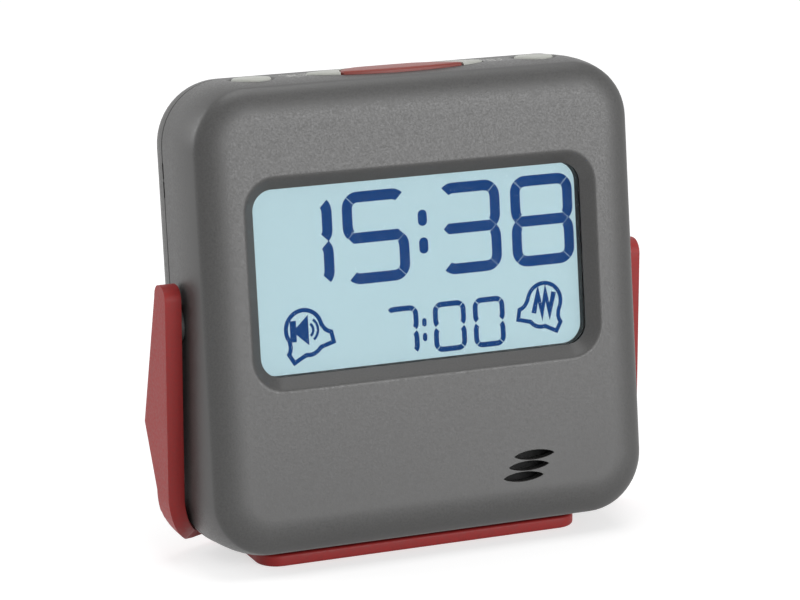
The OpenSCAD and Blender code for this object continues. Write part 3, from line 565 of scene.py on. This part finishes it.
def rear_shell():
    inner = [math.radians(90 - 90 * k / 12) for k in range(13)]
    outer = [math.radians(90 * k / 26) for k in range(27)]
    rings = [case_ring(BACK_START + (BACK_SOFT_D - WALL) * math.sin(a),
                       WALL + BACK_SOFT_W * (1 - math.cos(a))) for a in inner]
    seam = PARTING + SEAM_GAP
    rings += [case_ring(seam, WALL), case_ring(seam, SEAM_BEVEL), case_ring(seam + SEAM_BEVEL, 0.0),
              case_ring(seam + SEAM_BEVEL + SEAM_LAND, 0.0)]
    rings += [case_ring(BACK_START + BACK_SOFT_D * math.sin(a), BACK_SOFT_W * (1 - math.cos(a)))
              for a in outer]
    rings.append(case_ring(CASE_D, BACK_SOFT_W + BACK_FLAT))
    made = solid("rear_shell_moulding", loft(rings))
    middle, tall = (BAY_TOP + BAY_LOW) / 2, BAY_TOP - BAY_LOW
    grown = BAY_W / 2 + BAY_WALL
    inside = [block(-grown, grown, BAY_FRONT - BAY_WALL, INSIDE_END, BAY_LOW - BAY_WALL,
                    BAY_TOP + BAY_WALL)]
    inside += [rod_y(BOSS_BACK_R, PARTING + BOSS_CLEAR, INSIDE_END, x, z) for x, z in CORNERS]
    combine(made, gather(*inside), "UNION")
    bay = ((0.0, BAY_FRONT), (0.0, CASE_D - BAY_CHAMFER), (HOLE_EDGE, CASE_D + FLUSH),
           (HOLE_EDGE, CASE_D + PAST))
    cuts = [loft([ring(BAY_W + 2 * g, tall + 2 * g, BAY_R + g, y, middle, 4) for g, y in bay])]
    cuts += [rod_y(SET_R + KEY_GAP, CASE_D - WALL - PAST, CASE_D - HOLE_EDGE, x, SET_Z, HOLE_EDGE)
             for x in SET_X]
    well = ((SHANK_HOLE, PARTING - PAST), (SHANK_HOLE, SCREW_SEAT), (HEAD_HOLE, SCREW_SEAT),
            (HEAD_HOLE, CASE_D - HOLE_EDGE), (HEAD_HOLE_EDGE, CASE_D + FLUSH),
            (HEAD_HOLE_EDGE, CASE_D + PAST))
    cuts += [loft([round_ring(r, y, x, z) for r, y in well]) for x, z in CORNERS]
    cuts += rod_pair(HINGE_HOLE, HINGE_X, DOOR_Y, HINGE_Z)
    combine(made, gather(*cuts, *PRY_NOTCH), "DIFFERENCE")
    return dress(made, TO_CASE, "case", [case_grey], ["rear_shell"])


# Keys

KEY_EDGE, KEY_DOME, DOME_STEPS = 0.55, 0.06, (0.8, 0.55, 0.3, 0.1)
INSERT_GAP, INSERT_CROWN, INSERT_EDGE = 0.05, 0.05, 0.45
# Inset and drop of the insert's last rings, below its crown
INSERT_TOP = ((0.9, 0.03), (2.2, 0.0))
SET_STEM_Y, SET_FLANGE_R, SET_FLANGE_Y, SET_FACE_Y, SET_EDGE = 11.75, 4.55, (21.9, 22.7), 25.0, 0.5
# Radius and depth of the hollow in a set key's face
SET_DISH = ((2.5, 25.45), (1.7, 25.36), (0.8, 25.32))


def top_key(name, l, d, x=0.0):
    top = TOP_Z + KEY_PROUD
    rings = [oval_ring(2 * STEM_R, 2 * STEM_R, z, x) for z in (STEM_LOW, FLANGE_TOP - FLANGE_T)]
    rings += [oval_ring(l + 2 * FLANGE_W, d + 2 * FLANGE_W, z, x)
              for z in (FLANGE_TOP - FLANGE_T, FLANGE_TOP)]
    rings.append(oval_ring(l, d, FLANGE_TOP, x))
    for a in quarter_turn(8):
        inset = KEY_EDGE * (1 - math.cos(a))
        z = top - KEY_DOME - KEY_EDGE * (1 - math.sin(a))
        rings.append(oval_ring(l - 2 * inset, d - 2 * inset, z, x))
    rings += [oval_ring((l - 2 * KEY_EDGE) * f, (d - 2 * KEY_EDGE) * f, top - KEY_DOME * f * f, x)
              for f in DOME_STEPS]
    return solid(name, loft(rings))


def insert_outline(gap, count=96):
    """Radius to the coloured insert's edge, all the way round from the key's middle."""
    points = []
    for a in full_turn(count):
        c, s = math.cos(a), math.sin(a)
        oval = 1 / math.sqrt((c / (SNOOZE_L / 2 - gap)) ** 2 + (s / (SNOOZE_D / 2 - gap)) ** 2)
        disc = s * INSERT_Y + math.sqrt((INSERT_R - gap) ** 2 - (c * INSERT_Y) ** 2)
        points.append((c, s, min(oval, disc)))
    return points


def insert_ring(gap, inset, z):
    return [(c * (r - inset), KEY_Y + s * (r - inset), z) for c, s, r in insert_outline(gap)]


def keys():
    snooze = top_key("snooze_bar", SNOOZE_L, SNOOZE_D)
    well = TOP_Z + KEY_PROUD - INSERT_DEPTH
    disc = [(INSERT_R * math.cos(a), KEY_Y + INSERT_Y + INSERT_R * math.sin(a))
            for a in full_turn(96)]
    room = loft([[(x, y, z) for x, y in disc] for z in (well, TOP_Z + 2 * PAST)])
    combine(snooze, room, "DIFFERENCE")
    dress(snooze, TO_CASE, "snooze", [key_grey], ["snooze_key"])
    high = TOP_Z + KEY_PROUD + INSERT_CROWN
    rings = [insert_ring(INSERT_GAP, 0.0, well + INSERT_GAP)]
    for a in quarter_turn(7):
        z = high - INSERT_CROWN - INSERT_EDGE * (1 - math.sin(a))
        rings.append(insert_ring(INSERT_GAP, INSERT_EDGE * (1 - math.cos(a)), z))
    rings += [insert_ring(INSERT_GAP, inset, high - drop) for inset, drop in INSERT_TOP]
    cap = solid("snooze_insert_cap", loft(rings))
    dress(cap, TO_CASE, "snooze", [insert_red], ["snooze_insert"])
    for body, x in (("sound", -ALARM_X), ("vibration", ALARM_X)):
        made = top_key(body + "_button", ALARM_L, ALARM_D, x)
        dress(made, TO_CASE, body, [key_grey], [body + "_key"])
    flange_low, flange_high = SET_FLANGE_Y
    profile = [(STEM_R, SET_STEM_Y), (STEM_R, flange_low), (SET_FLANGE_R, flange_low),
               (SET_FLANGE_R, flange_high), (SET_R, flange_high)]
    profile += [(SET_R - SET_EDGE * (1 - math.cos(a)), SET_FACE_Y + SET_EDGE * math.sin(a))
                for a in quarter_turn(7)]
    profile += SET_DISH
    for body, x in zip(("time", "alarm", "up", "down"), SET_X):
        made = solid(body + "_button", loft([round_ring(r, y, x, SET_Z) for r, y in profile]))
        dress(made, TO_CASE, body, [key_grey], [body + "_key"])


# Battery door

# Run and inset of the softened ends, and run and radius of the scoop's ends
DOOR_EDGE, DOOR_SOFT = ((0.0, 0.22), (0.07, 0.07), (0.22, 0.0)), 0.25
PIN_R, PIN_REACH = 0.5, 1.1
SCOOP_R, SCOOP_Y, SCOOP_Z = 3.8, DOOR_Y + DOOR_T / 2 + 3.0, DOOR_HIGH - 4.0
SCOOP_ENDS = ((6.5, 2.9), (6.1, 3.6), (5.4, SCOOP_R))


def door_profile(inset, x):
    """Side view of the door: round about the hinge, softened at the free edge."""
    half = DOOR_T / 2 - inset
    points = [(x, DOOR_Y + half * math.cos(a), HINGE_Z - half * math.sin(a))
              for a in (math.pi * k / 16 for k in range(17))]
    top = DOOR_HIGH - inset
    points += [(x, DOOR_Y - half, top - DOOR_SOFT), (x, DOOR_Y - half + DOOR_SOFT, top),
               (x, DOOR_Y + half - DOOR_SOFT, top), (x, DOOR_Y + half, top - DOOR_SOFT)]
    return points


def battery_door():
    ends = [(-DOOR_W / 2 + run, inset) for run, inset in DOOR_EDGE]
    ends += [(DOOR_W / 2 - run, inset) for run, inset in reversed(DOOR_EDGE)]
    made = solid("battery_door_moulding", loft([door_profile(inset, x) for x, inset in ends]))
    reach = DOOR_W / 2 + PIN_REACH
    combine(made, rod_x(PIN_R, (-reach, reach), DOOR_Y, HINGE_Z), "UNION")
    ends = [(-x, r) for x, r in SCOOP_ENDS] + list(reversed(SCOOP_ENDS))
    combine(made, loft([side_ring(r, x, SCOOP_Y, SCOOP_Z) for x, r in ends]), "DIFFERENCE")
    return dress(made, TO_CASE, "door", [case_grey], ["battery_door"])


# Repeated details

class Growth(Nodes):
    """A Geometry Nodes tree with named sizes, run once on a set of points."""

    def __init__(self, name, sizes):
        super().__init__(bpy.data.node_groups.new(name, "GeometryNodeTree"))
        self.sizes = sizes
        self.socket("Points", "INPUT", "NodeSocketGeometry")
        self.socket("Grown", "OUTPUT", "NodeSocketGeometry")
        self.keys = {size: self.socket(size, "INPUT", "NodeSocketFloat") for size in sizes}
        self.source = self.add("NodeGroupInput")
        self.result = self.add("NodeGroupOutput")

    def socket(self, name, way, kind):
        return self.tree.interface.new_socket(name, in_out=way, socket_type=kind).identifier

    def first(self, kind, inputs=(), **settings):
        return self.add(kind, inputs, **settings).outputs[0]

    def size(self, name):
        return self.source.outputs[name]

    def times(self, a, b):
        return self.first("ShaderNodeMath", {0: a, 1: b}, operation="MULTIPLY")

    def along_z(self, value):
        return self.first("ShaderNodeCombineXYZ", {"Z": value})

    def cylinder(self, radius, depth, **counts):
        values = {key.replace("_", " "): value for key, value in counts.items()}
        return self.first("GeometryNodeMeshCylinder", {"Radius": radius, "Depth": depth, **values})

    def shifted(self, geometry, way):
        return self.first("GeometryNodeTransform", {"Geometry": geometry, "Translation": way})

    def softened(self, geometry, start, end, factor):
        """Draws the shape in towards its axis between two heights."""
        place = self.first("GeometryNodeInputPosition")
        x, y, z = self.add("ShaderNodeSeparateXYZ", {"Vector": place}).outputs
        height = self.first("ShaderNodeMath", {0: z}, operation="ABSOLUTE")
        draw = self.first("ShaderNodeMapRange", {
            "Value": height, "From Min": start, "From Max": end, "To Min": 1.0, "To Max": factor},
            interpolation_type="SMOOTHSTEP")
        moved = self.first("ShaderNodeCombineXYZ", {"X": self.times(x, draw),
                                                    "Y": self.times(y, draw), "Z": z})
        return self.first("GeometryNodeSetPosition", {"Geometry": geometry, "Position": moved})

    def spread(self, shape, turn, material):
        """Sets the shape on every point and ends the tree."""
        placed = self.first("GeometryNodeInstanceOnPoints", {
            "Points": self.source.outputs["Points"], "Instance": shape, "Rotation": turn})
        real = self.first("GeometryNodeRealizeInstances", {"Geometry": placed})
        done = self.first("GeometryNodeSetMaterial", {"Geometry": real, "Material": material})
        self.tree.links.new(done, self.result.inputs[0])

    def grow(self, name, points):
        made = solid(name, (points, []))
        step = made.modifiers.new("grow", "NODES")
        step.node_group = self.tree
        for size, value in self.sizes.items():
            step[self.keys[size]] = value
        return settle(made)


def cross_head_screws():
    """Pan-head screws with a cross recess, sitting in the back of the case."""
    tree = Growth("cross_head_screws", {
        "Head radius": 2.6, "Head height": 1.8, "Recess width": 0.62, "Recess length": 2.9,
        "Recess depth": 1.1, "Shank radius": 1.3, "Shank length": 11.0})
    height = tree.size("Head height")
    head = tree.cylinder(tree.size("Head radius"), height, Vertices=48, Side_Segments=8)
    head = tree.softened(head, tree.times(height, 0.12), tree.times(height, 0.5), 0.86)
    lift = tree.along_z(tree.times(height, 0.5))
    bars = []
    for ways in (("Recess length", "Recess width"), ("Recess width", "Recess length")):
        size = tree.first("ShaderNodeCombineXYZ", {"X": tree.size(ways[0]), "Y": tree.size(ways[1]),
                                                   "Z": tree.size("Recess depth")})
        bars.append(tree.shifted(tree.first("GeometryNodeMeshCube", {"Size": size}), lift))
    head = tree.first("GeometryNodeMeshBoolean", {"Mesh 1": head, "Mesh 2": bars},
                      operation="DIFFERENCE")
    head = tree.shifted(head, lift)
    length = tree.size("Shank length")
    shank = tree.cylinder(tree.size("Shank radius"), length, Vertices=24)
    shank = tree.shifted(shank, tree.along_z(tree.times(length, -0.5)))
    whole = tree.first("GeometryNodeJoinGeometry", {"Geometry": [head, shank]})
    tree.spread(whole, (math.radians(-90), 0, 0), steel)
    made = tree.grow("cross_head_screws", [(x, SCREW_SEAT, z) for x, z in CORNERS])
    dress(made, TO_CASE, "case", [steel], ["case_screws"], 40)


def grip_ridges():
    """Fine ridges across the scoop of the battery door."""
    tree = Growth("grip_ridges", {"Ridge radius": 0.28, "Ridge length": 9.6})
    length = tree.size("Ridge length")
    rod = tree.cylinder(tree.size("Ridge radius"), length, Vertices=16, Side_Segments=40)
    rod = tree.softened(rod, tree.times(length, 0.46), tree.times(length, 0.5), 0.2)
    tree.spread(rod, (0, math.radians(90), 0), case_grey)
    points = [(0.0, SCOOP_Y - SCOOP_R * math.cos(a), SCOOP_Z + SCOOP_R * math.sin(a))
              for a in (math.radians(t) for t in (-22, -11, 0, 11, 22))]
    made = tree.grow("grip_ridges", points)
    dress(made, TO_CASE, "door", [case_grey], (), 60)


# Stand

FOOT_W, FOOT_FRONT, FOOT_BACK, FOOT_R = 62.39, 10.7, 19.4, 4.0
ARM_FRONT, ARM_TOP, ARM_REAR, ARM_ROUND = 3.6, 7.4, 2.1, 2.5
HEEL_Y, HEEL_Z, NECK_Y, NECK_Z = 9.2, -22.3, 2.4, -29.2
TOE_R, TOE_Z, FLARE_R = 10.0, -31.5, 14.0
# Depth and outer radius of the bend from arm to leg
BENDS = ((-3.6, 13.6), (3.8, 13.8), (8.4, 24.0))
BEND_START, BEND_TRIES, LEG_IN, ARM_EDGE, FOOT_EDGE = 12, 40, 6.0, 0.5, 0.5
SHOULDER, LOOSE, SWING_FRONT, SWING_TOP = 4.8, 0.3, -12.0, 9.5
STUD_R, STUD_X, SOCKET_R, SOCKET_X = 2.5, 39.2, 1.15, (39.0, 43.2)


def bend_radius(y):
    for (y0, r0), (y1, r1) in zip(BENDS, BENDS[1:]):
        if y <= y1:
            return r0 + (r1 - r0) * max(0.0, (y - y0) / (y1 - y0))
    return BENDS[-1][1]


def top_round(z):
    """Half width of the round at an arm's top, at a height above the pivot."""
    return math.sqrt(max(0.0, ARM_ROUND ** 2 - (z - ARM_TOP + ARM_ROUND) ** 2))


def arm_front_edge(z):
    """Front edge of an arm and its leg at a height above the pivot."""
    if z >= ARM_TOP - ARM_ROUND:
        return ARM_ROUND - ARM_FRONT - top_round(z)
    if z >= TOE_Z:
        return -ARM_FRONT
    drop = min(TOE_R, TOE_Z - z)
    return TOE_R - ARM_FRONT - math.sqrt(TOE_R ** 2 - drop ** 2)


def arm_rear_edge(z):
    if z >= ARM_TOP - ARM_ROUND:
        return ARM_REAR - ARM_ROUND + top_round(z)
    if z >= HEEL_Z:
        shoulder = ARM_TOP - ARM_ROUND
        return ARM_REAR + (HEEL_Y - ARM_REAR) * (shoulder - z) / (shoulder - HEEL_Z)
    if z >= NECK_Z:
        return NECK_Y + (HEEL_Y - NECK_Y) * (z - NECK_Z) / (HEEL_Z - NECK_Z)
    drop = min(FLARE_R, NECK_Z - z)
    return NECK_Y + FLARE_R - math.sqrt(FLARE_R ** 2 - drop ** 2)


def on_bend(angle, edge):
    """Depth where a row of the bend meets an edge of the arm."""
    y = edge(-PIVOT.z + BEND_START)
    for _ in range(BEND_TRIES):
        y = 0.5 * y + 0.5 * edge(bend_radius(y) * (1 - math.sin(angle)) - PIVOT.z)
    return y


def arm_rows(across=14):
    """Rows of points over the left arm and leg from the top down, outside and inside.

    Each row runs from front to rear.
    """
    outside, inside = [], []
    top = PIVOT.z + ARM_TOP
    low = max(r for _, r in BENDS)
    heights = [top - ARM_ROUND * (1 - math.cos(math.pi / 2 * k / 8)) for k in range(8)]
    heights += [top - ARM_ROUND - (top - ARM_ROUND - low) * k / 16 for k in range(17)]
    for z in heights:
        front, rear = arm_front_edge(z - PIVOT.z), arm_rear_edge(z - PIVOT.z)
        depths = [front + (rear - front) * k / across for k in range(across + 1)]
        outside.append([(-STAND_W / 2, y, z) for y in depths])
        inside.append([(ARM_T - STAND_W / 2, y, z) for y in depths])
    for i in range(1, 29):
        angle = math.pi / 2 * i / 28
        front, rear = on_bend(angle, arm_front_edge), on_bend(angle, arm_rear_edge)
        outer, inner = [], []
        for k in range(across + 1):
            y = front + (rear - front) * k / across
            r = bend_radius(y)
            outer.append((r * (1 - math.cos(angle)) - STAND_W / 2, y, r * (1 - math.sin(angle))))
            inner.append((r - (r - ARM_T) * math.cos(angle) - STAND_W / 2, y,
                          FOOT_LIP + (r - ARM_T) * (1 - math.sin(angle))))
        outside.append(outer)
        inside.append(inner)
    outside.append([(x + LEG_IN, y, z) for x, y, z in outside[-1]])
    inside.append([(x + LEG_IN, y, z) for x, y, z in inside[-1]])
    return outside, inside


def arm(side):
    """One arm with its leg: a ring of points round every row, skinned, with softened edges."""
    outside, inside = arm_rows()
    rings = [[(-side * x, y, z) for x, y, z in outer + inner[::-1]]
             for outer, inner in zip(outside, inside)]
    made = solid("arm_" + ("right" if side > 0 else "left"), loft(rings))
    soft = made.modifiers.new("soft", "BEVEL")
    soft.width = ARM_EDGE
    soft.segments = 4
    soft.angle_limit = math.radians(50)
    return settle(made)


def swing_room():
    """Room that the tilting case needs above the foot, from one lower corner to the other."""
    reach = CORNER_R + LOOSE
    ways = [math.radians(20 + 70 * k / 12) for k in range(13)]
    half = [(CASE_W / 2 - CORNER_R + reach * math.cos(a),
             CASE_H / 2 - CORNER_R + reach * math.sin(a)) for a in ways]
    depths = [SWING_FRONT + (SHOULDER - SWING_FRONT) * k / 24 for k in range(25)]
    rings = []
    for x, drop in [(-x, drop) for x, drop in half] + half[::-1]:
        r = math.hypot(SHOULDER, drop)
        rings.append([(x, y, PIVOT.z - math.sqrt(r * r - y * y)) for y in depths]
                     + [(x, SHOULDER, SWING_TOP), (x, SWING_FRONT, SWING_TOP)])
    return loft(rings)


def stand():
    middle = (FOOT_BACK - FOOT_FRONT) / 2
    tall = FOOT_FRONT + FOOT_BACK

    def foot_ring(inset, z):
        flat = ring(FOOT_W - 2 * inset, tall - 2 * inset, FOOT_R - inset, 0.0, middle, 10)
        return [(x, y, z) for x, _, y in flat]

    turns = quarter_turn(5)
    rings = [foot_ring(FOOT_EDGE * (1 - math.sin(a)), FOOT_EDGE * (1 - math.cos(a))) for a in turns]
    rings += [foot_ring(FOOT_EDGE * (1 - math.cos(a)), FOOT_LIP - FOOT_EDGE * (1 - math.sin(a)))
              for a in turns]
    made = solid("stand_moulding", loft(rings))
    for side in (-1, 1):
        merge(made, arm(side), "UNION")
    combine(made, swing_room(), "DIFFERENCE")
    studs = rod_pair(STUD_R, (STUD_X, STAND_W / 2 - ARM_T + OVERLAP), 0.0, PIVOT.z)
    combine(made, gather(*studs), "UNION")
    sockets = rod_pair(SOCKET_R, SOCKET_X, 0.0, PIVOT.z)
    combine(made, gather(*sockets), "DIFFERENCE")
    return dress(made, TO_STAND, "stand", [stand_red], ["stand_yoke"], 40)


# Display

STROKES = {"0": "abcdef", "1": "bc", "3": "abgcd", "5": "afgcd", "7": "abc", "8": "abcdefg"}
PANEL_Y, INK_T = 4.248, 0.03
# Each row of digits: mark, left and right; then low, high, stroke, shoulder radius and gap
TIME = (("1", -28.1, -15.87), ("5", -13.92, -1.4), ("3", 4.43, 16.57), ("8", 18.7, 31.0))
TIME_ROW = (4.72, 21.15, 1.92, 3.0, 0.1)
ALARM = (("7", -6.76, -0.36), ("0", 2.48, 8.9), ("0", 10.3, 16.55))
ALARM_ROW = (-9.0, 0.05, 0.95, 1.75, 0.14)
# Each dot of the colons: x, z, width and height
DOTS = ((1.39, 15.4, 1.75, 2.9), (1.39, 10.45, 1.75, 2.9))
ALARM_DOTS = ((0.75, -3.3, 0.85, 1.5), (0.75, -5.95, 0.85, 1.5))
PRINT_X, PRINT_BACK, PRINT_SINK, PRINT_T, PRINT_SCALE, PRINT_PEN = 18.9, 0.4, 0.02, 0.035, 0.5, 0.5


def arc(centre, r, start, end, steps=7):
    turn = [math.radians(start + (end - start) * k / steps) for k in range(steps + 1)]
    return [(centre[0] + r * math.cos(a), centre[1] + r * math.sin(a)) for a in turn]


def digit(mark, x0, x1, z0, z1, stroke, r, gap):
    """Outlines of the segments of one digit, with round shoulders and mitred joints."""
    left, right, mid = x0 + r, x1 - r, (z0 + z1) / 2
    inner = r - stroke
    d_out, d_in = math.degrees(gap / 2 / r), math.degrees(gap / 2 / max(inner, 0.3))
    high, low = z1 - r, z0 + r
    upper, lower = mid - stroke / 2 + r, mid + stroke / 2 - r
    ways = {"a": ((left, high), 135, (right, high), 45),
            "b": ((right, high), 45, (right, upper), -45),
            "c": ((right, lower), 45, (right, low), -45),
            "d": ((right, low), -45, (left, low), -135),
            "e": ((left, low), 225, (left, lower), 135),
            "f": ((left, upper), 225, (left, high), 135)}
    outlines = []
    for segment in STROKES[mark]:
        if segment == "g":
            cut = r * (1 - math.cos(math.pi / 4)) + gap
            xl, xr, h = x0 + cut, x1 - cut, stroke / 2
            outlines.append([(xl, mid), (xl + h, mid + h), (xr - h, mid + h),
                             (xr, mid), (xr - h, mid - h), (xl + h, mid - h)])
            continue
        c0, a0, c1, a1 = ways[segment]
        turn = (a0 + a1) / 2
        outer = arc(c0, r, a0 - d_out, turn) + arc(c1, r, turn, a1 + d_out)
        back = arc(c1, inner, a1 + d_in, turn) + arc(c0, inner, turn, a0 - d_in)
        outlines.append(outer + back)
    return outlines


def lozenge(x, z, w, h):
    """Upright bar with round ends."""
    r = w / 2
    return arc((x, z + h / 2 - r), r, 0, 180, 12) + arc((x, z - h / 2 + r), r, 180, 360, 12)


def turned(points, angle, x, z, scale=1.0):
    c, s = math.cos(math.radians(angle)) * scale, math.sin(math.radians(angle)) * scale
    return [(x + u * c - v * s, z + u * s + v * c) for u, v in points]


def stroke_ring(points, width):
    """Two outlines, outside and inside, of a line drawn along a closed path."""
    outer, inner = [], []
    n = len(points)
    for i in range(n):
        (ax, az), (bx, bz), (cx, cz) = points[i - 1], points[i], points[(i + 1) % n]
        first = Vector((bx - ax, bz - az)).normalized()
        second = Vector((cx - bx, cz - bz)).normalized()
        along = (first + second).normalized()
        side = Vector((along.y, -along.x)) * (width / 2 / max(0.5, along.dot(first)))
        outer.append((bx + side.x, bz + side.y))
        inner.append((bx - side.x, bz - side.y))
    return outer, inner


BELL = (arc((0.0, 0.9), 3.75, -12, 192, 30)
        + [(-3.95, -1.1), (-4.35, -1.75), (-4.9, -2.2), (-4.55, -4.25), (-1.7, -3.95),
           (-0.9, -4.35), (0.0, -4.5), (0.9, -4.35), (1.7, -3.95), (4.55, -4.25), (4.9, -2.2),
           (4.35, -1.75), (3.95, -1.1)])
HORN = [(-3.0, -2.1), (-1.7, -2.1), (-1.7, -0.7), (0.85, -3.0),
        (0.85, 3.0), (-1.7, 0.7), (-1.7, 2.1), (-3.0, 2.1)]
WAVE_FROM, WAVE_HALF, WAVE_SPAN = (0.35, 0.0), 0.26, 52
WAVES = [arc(WAVE_FROM, r + WAVE_HALF, -WAVE_SPAN, WAVE_SPAN, 14)
         + arc(WAVE_FROM, r - WAVE_HALF, WAVE_SPAN, -WAVE_SPAN, 14) for r in (1.5, 2.5)]
BUZZ_LINE = [(-2.35, -2.0), (-1.25, 2.0), (-0.45, -2.0), (0.45, 2.0), (1.25, -2.0), (2.35, 2.0)]
BUZZ_PEN, MARK_UP = 1.1, 0.6


def thick_line(points, width):
    """Outline of an open zigzag drawn with a pen of the given width."""
    sides = [[], []]
    for i, (x, z) in enumerate(points):
        before, after = points[max(i - 1, 0)], points[min(i + 1, len(points) - 1)]
        first = Vector((x - before[0], z - before[1]))
        second = Vector((after[0] - x, after[1] - z))
        first = (first if first.length else second).normalized()
        second = (second if second.length else first).normalized()
        across = Vector((-first.y - second.y, first.x + second.x)).normalized()
        reach = width / 2 / max(0.3, across.dot(Vector((-first.y, first.x))))
        for side, sign in zip(sides, (1, -1)):
            side.append((x + sign * reach * across.x, z + sign * reach * across.y))
    return sides[0] + sides[1][::-1]


def signs(kind, angle, x, z, lift, thick, scale=1.0, pen=0.85):
    """A leaning bell in outline with an upright horn and waves in it, or with a buzzing line."""
    outer, inner = stroke_ring(BELL, pen)
    edges = [[lift(u, v, d) for u, v in turned(points, angle, x, z, scale)]
             for points, d in ((outer, 0.0), (outer, thick), (inner, thick), (inner, 0.0))]
    parts = [loft(edges, closed=True)]
    inside = [HORN, *WAVES] if kind == "horn" else [thick_line(BUZZ_LINE, BUZZ_PEN)]
    (mark_x, mark_z), = turned([(0.0, MARK_UP)], angle, x, z, scale)
    parts += [plate(turned(outline, 0, mark_x, mark_z, scale), lift, thick) for outline in inside]
    return parts


def display():
    def lift(u, v, d):
        return u, PANEL_Y - d, v

    outlines = []
    for row, sizes, dots in ((TIME, TIME_ROW, DOTS), (ALARM, ALARM_ROW, ALARM_DOTS)):
        for mark, x0, x1 in row:
            outlines += digit(mark, x0, x1, *sizes)
        outlines += [lozenge(*dot) for dot in dots]
    parts = [plate(outline, lift, INK_T) for outline in outlines]
    parts += signs("horn", 22, -22.0, -2.9, lift, INK_T, 0.9)
    parts += signs("buzz", -20, 24.2, -2.6, lift, INK_T, 0.88)
    made = solid("display_segments", gather(*parts))
    dress(made, TO_CASE, "case", [ink_navy], (), 40)


def key_prints():
    """Small printed signs on the top of the case, between the keys."""
    def lift(u, v, d):
        y = KEY_Y + PRINT_BACK - v
        return u, y, TOP_Z - soft_inset(y) - PRINT_SINK + d

    parts = []
    for kind, x in (("horn", -PRINT_X), ("buzz", PRINT_X)):
        parts += signs(kind, 0, x, 0.0, lift, PRINT_T, PRINT_SCALE, PRINT_PEN)
    made = solid("key_prints", gather(*parts))
    dress(made, TO_CASE, "case", [print_grey], (), 40)


front_shell()
rear_shell()
keys()
battery_door()
cross_head_screws()
grip_ridges()
stand()
display()
key_prints()


# Studio

WORLD_HIDDEN, WORLD_SEEN, FLOOR_TONE = 0.32, 1.0, 0.62
# Name, place, width and height in metres, and power of each lamp
LAMPS = (("right front box", (0.42, -0.95, 0.16), 0.8, 0.7, 8.8),
         ("left box", (-0.85, 0.5, 0.45), 0.6, 0.7, 4.2),
         ("top box", (0.1, 0.0, 1.1), 0.9, 0.7, 4.5))
LAMP_AIM = Vector((0, -0.002, 0.045))
# Camera fitted to the picture: its axes, the point it aims at, and its focal length in pixels
CAMERA_RIGHT = Vector((0.91822, -0.39608, 0.0))
CAMERA_AHEAD = Vector((0.38345, 0.88893, -0.25058))
CAMERA_UP = Vector((0.09925, 0.23009, 0.96811))
CAMERA_AIM, CAMERA_AWAY = Vector((-5.361, -13.057, 46.985)), 599.975
SENSOR, FOCAL_PIXELS, PICTURE_PIXELS = 36.0, 3403.8, 800


def studio():
    scene = bpy.context.scene
    scene.view_settings.view_transform = "Standard"
    world = bpy.data.worlds.new("studio")
    scene.world = world
    world.use_nodes = True
    tree = world.node_tree
    back = tree.nodes["Background"]
    back.inputs["Color"].default_value = (1, 1, 1, 1)
    tree.links.new(seen_rays(tree, WORLD_HIDDEN, WORLD_SEEN), back.inputs["Strength"])

    floor = solid("floor", ([(-4, -4, 0), (4, -4, 0), (4, 6, 0), (-4, 6, 0)], [(0, 1, 2, 3)]))
    pale = Finish("pale_floor", Base_Color=(FLOOR_TONE, FLOOR_TONE, FLOOR_TONE, 1), Roughness=0.9,
                  Specular_IOR_Level=0.0, Emission_Color=(1, 1, 1, 1))
    pale.feed("Emission Strength", seen_rays(pale.tree, 0.0, FLOOR_TONE))
    floor.data.materials.append(pale.material)

    for name, place, width, height, power in LAMPS:
        lamp = bpy.data.lights.new(name, "AREA")
        lamp.shape = "RECTANGLE"
        lamp.size, lamp.size_y, lamp.energy = width, height, power
        stand_in = bpy.data.objects.new(name, lamp)
        stand_in.location = place
        stand_in.rotation_euler = (LAMP_AIM - Vector(place)).to_track_quat("-Z", "Y").to_euler()
        scene.collection.objects.link(stand_in)


def seen_rays(tree, hidden, seen):
    """One value for camera, glossy and transmission rays, and another for all other light."""
    nodes = Nodes(tree)
    path = nodes.add("ShaderNodeLightPath")
    total = path.outputs["Is Camera Ray"]
    for ray in ("Is Glossy Ray", "Is Transmission Ray"):
        either = nodes.add("ShaderNodeMath", {0: total, 1: path.outputs[ray]}, operation="MAXIMUM")
        total = either.outputs[0]
    reach = nodes.add("ShaderNodeMapRange", {"To Min": hidden, "To Max": seen, "Value": total})
    return reach.outputs["Result"]


def camera():
    aim, distance = CAMERA_AIM * MM, CAMERA_AWAY * MM
    data = bpy.data.cameras.new("camera")
    data.sensor_width = SENSOR
    data.lens = SENSOR * FOCAL_PIXELS / PICTURE_PIXELS
    made = bpy.data.objects.new("camera", data)
    turn = Matrix((CAMERA_RIGHT, CAMERA_UP, -CAMERA_AHEAD)).transposed().to_4x4()
    made.matrix_world = Matrix.Translation(aim - CAMERA_AHEAD * distance) @ turn
    bpy.context.scene.collection.objects.link(made)
    bpy.context.scene.camera = made


studio()
camera()
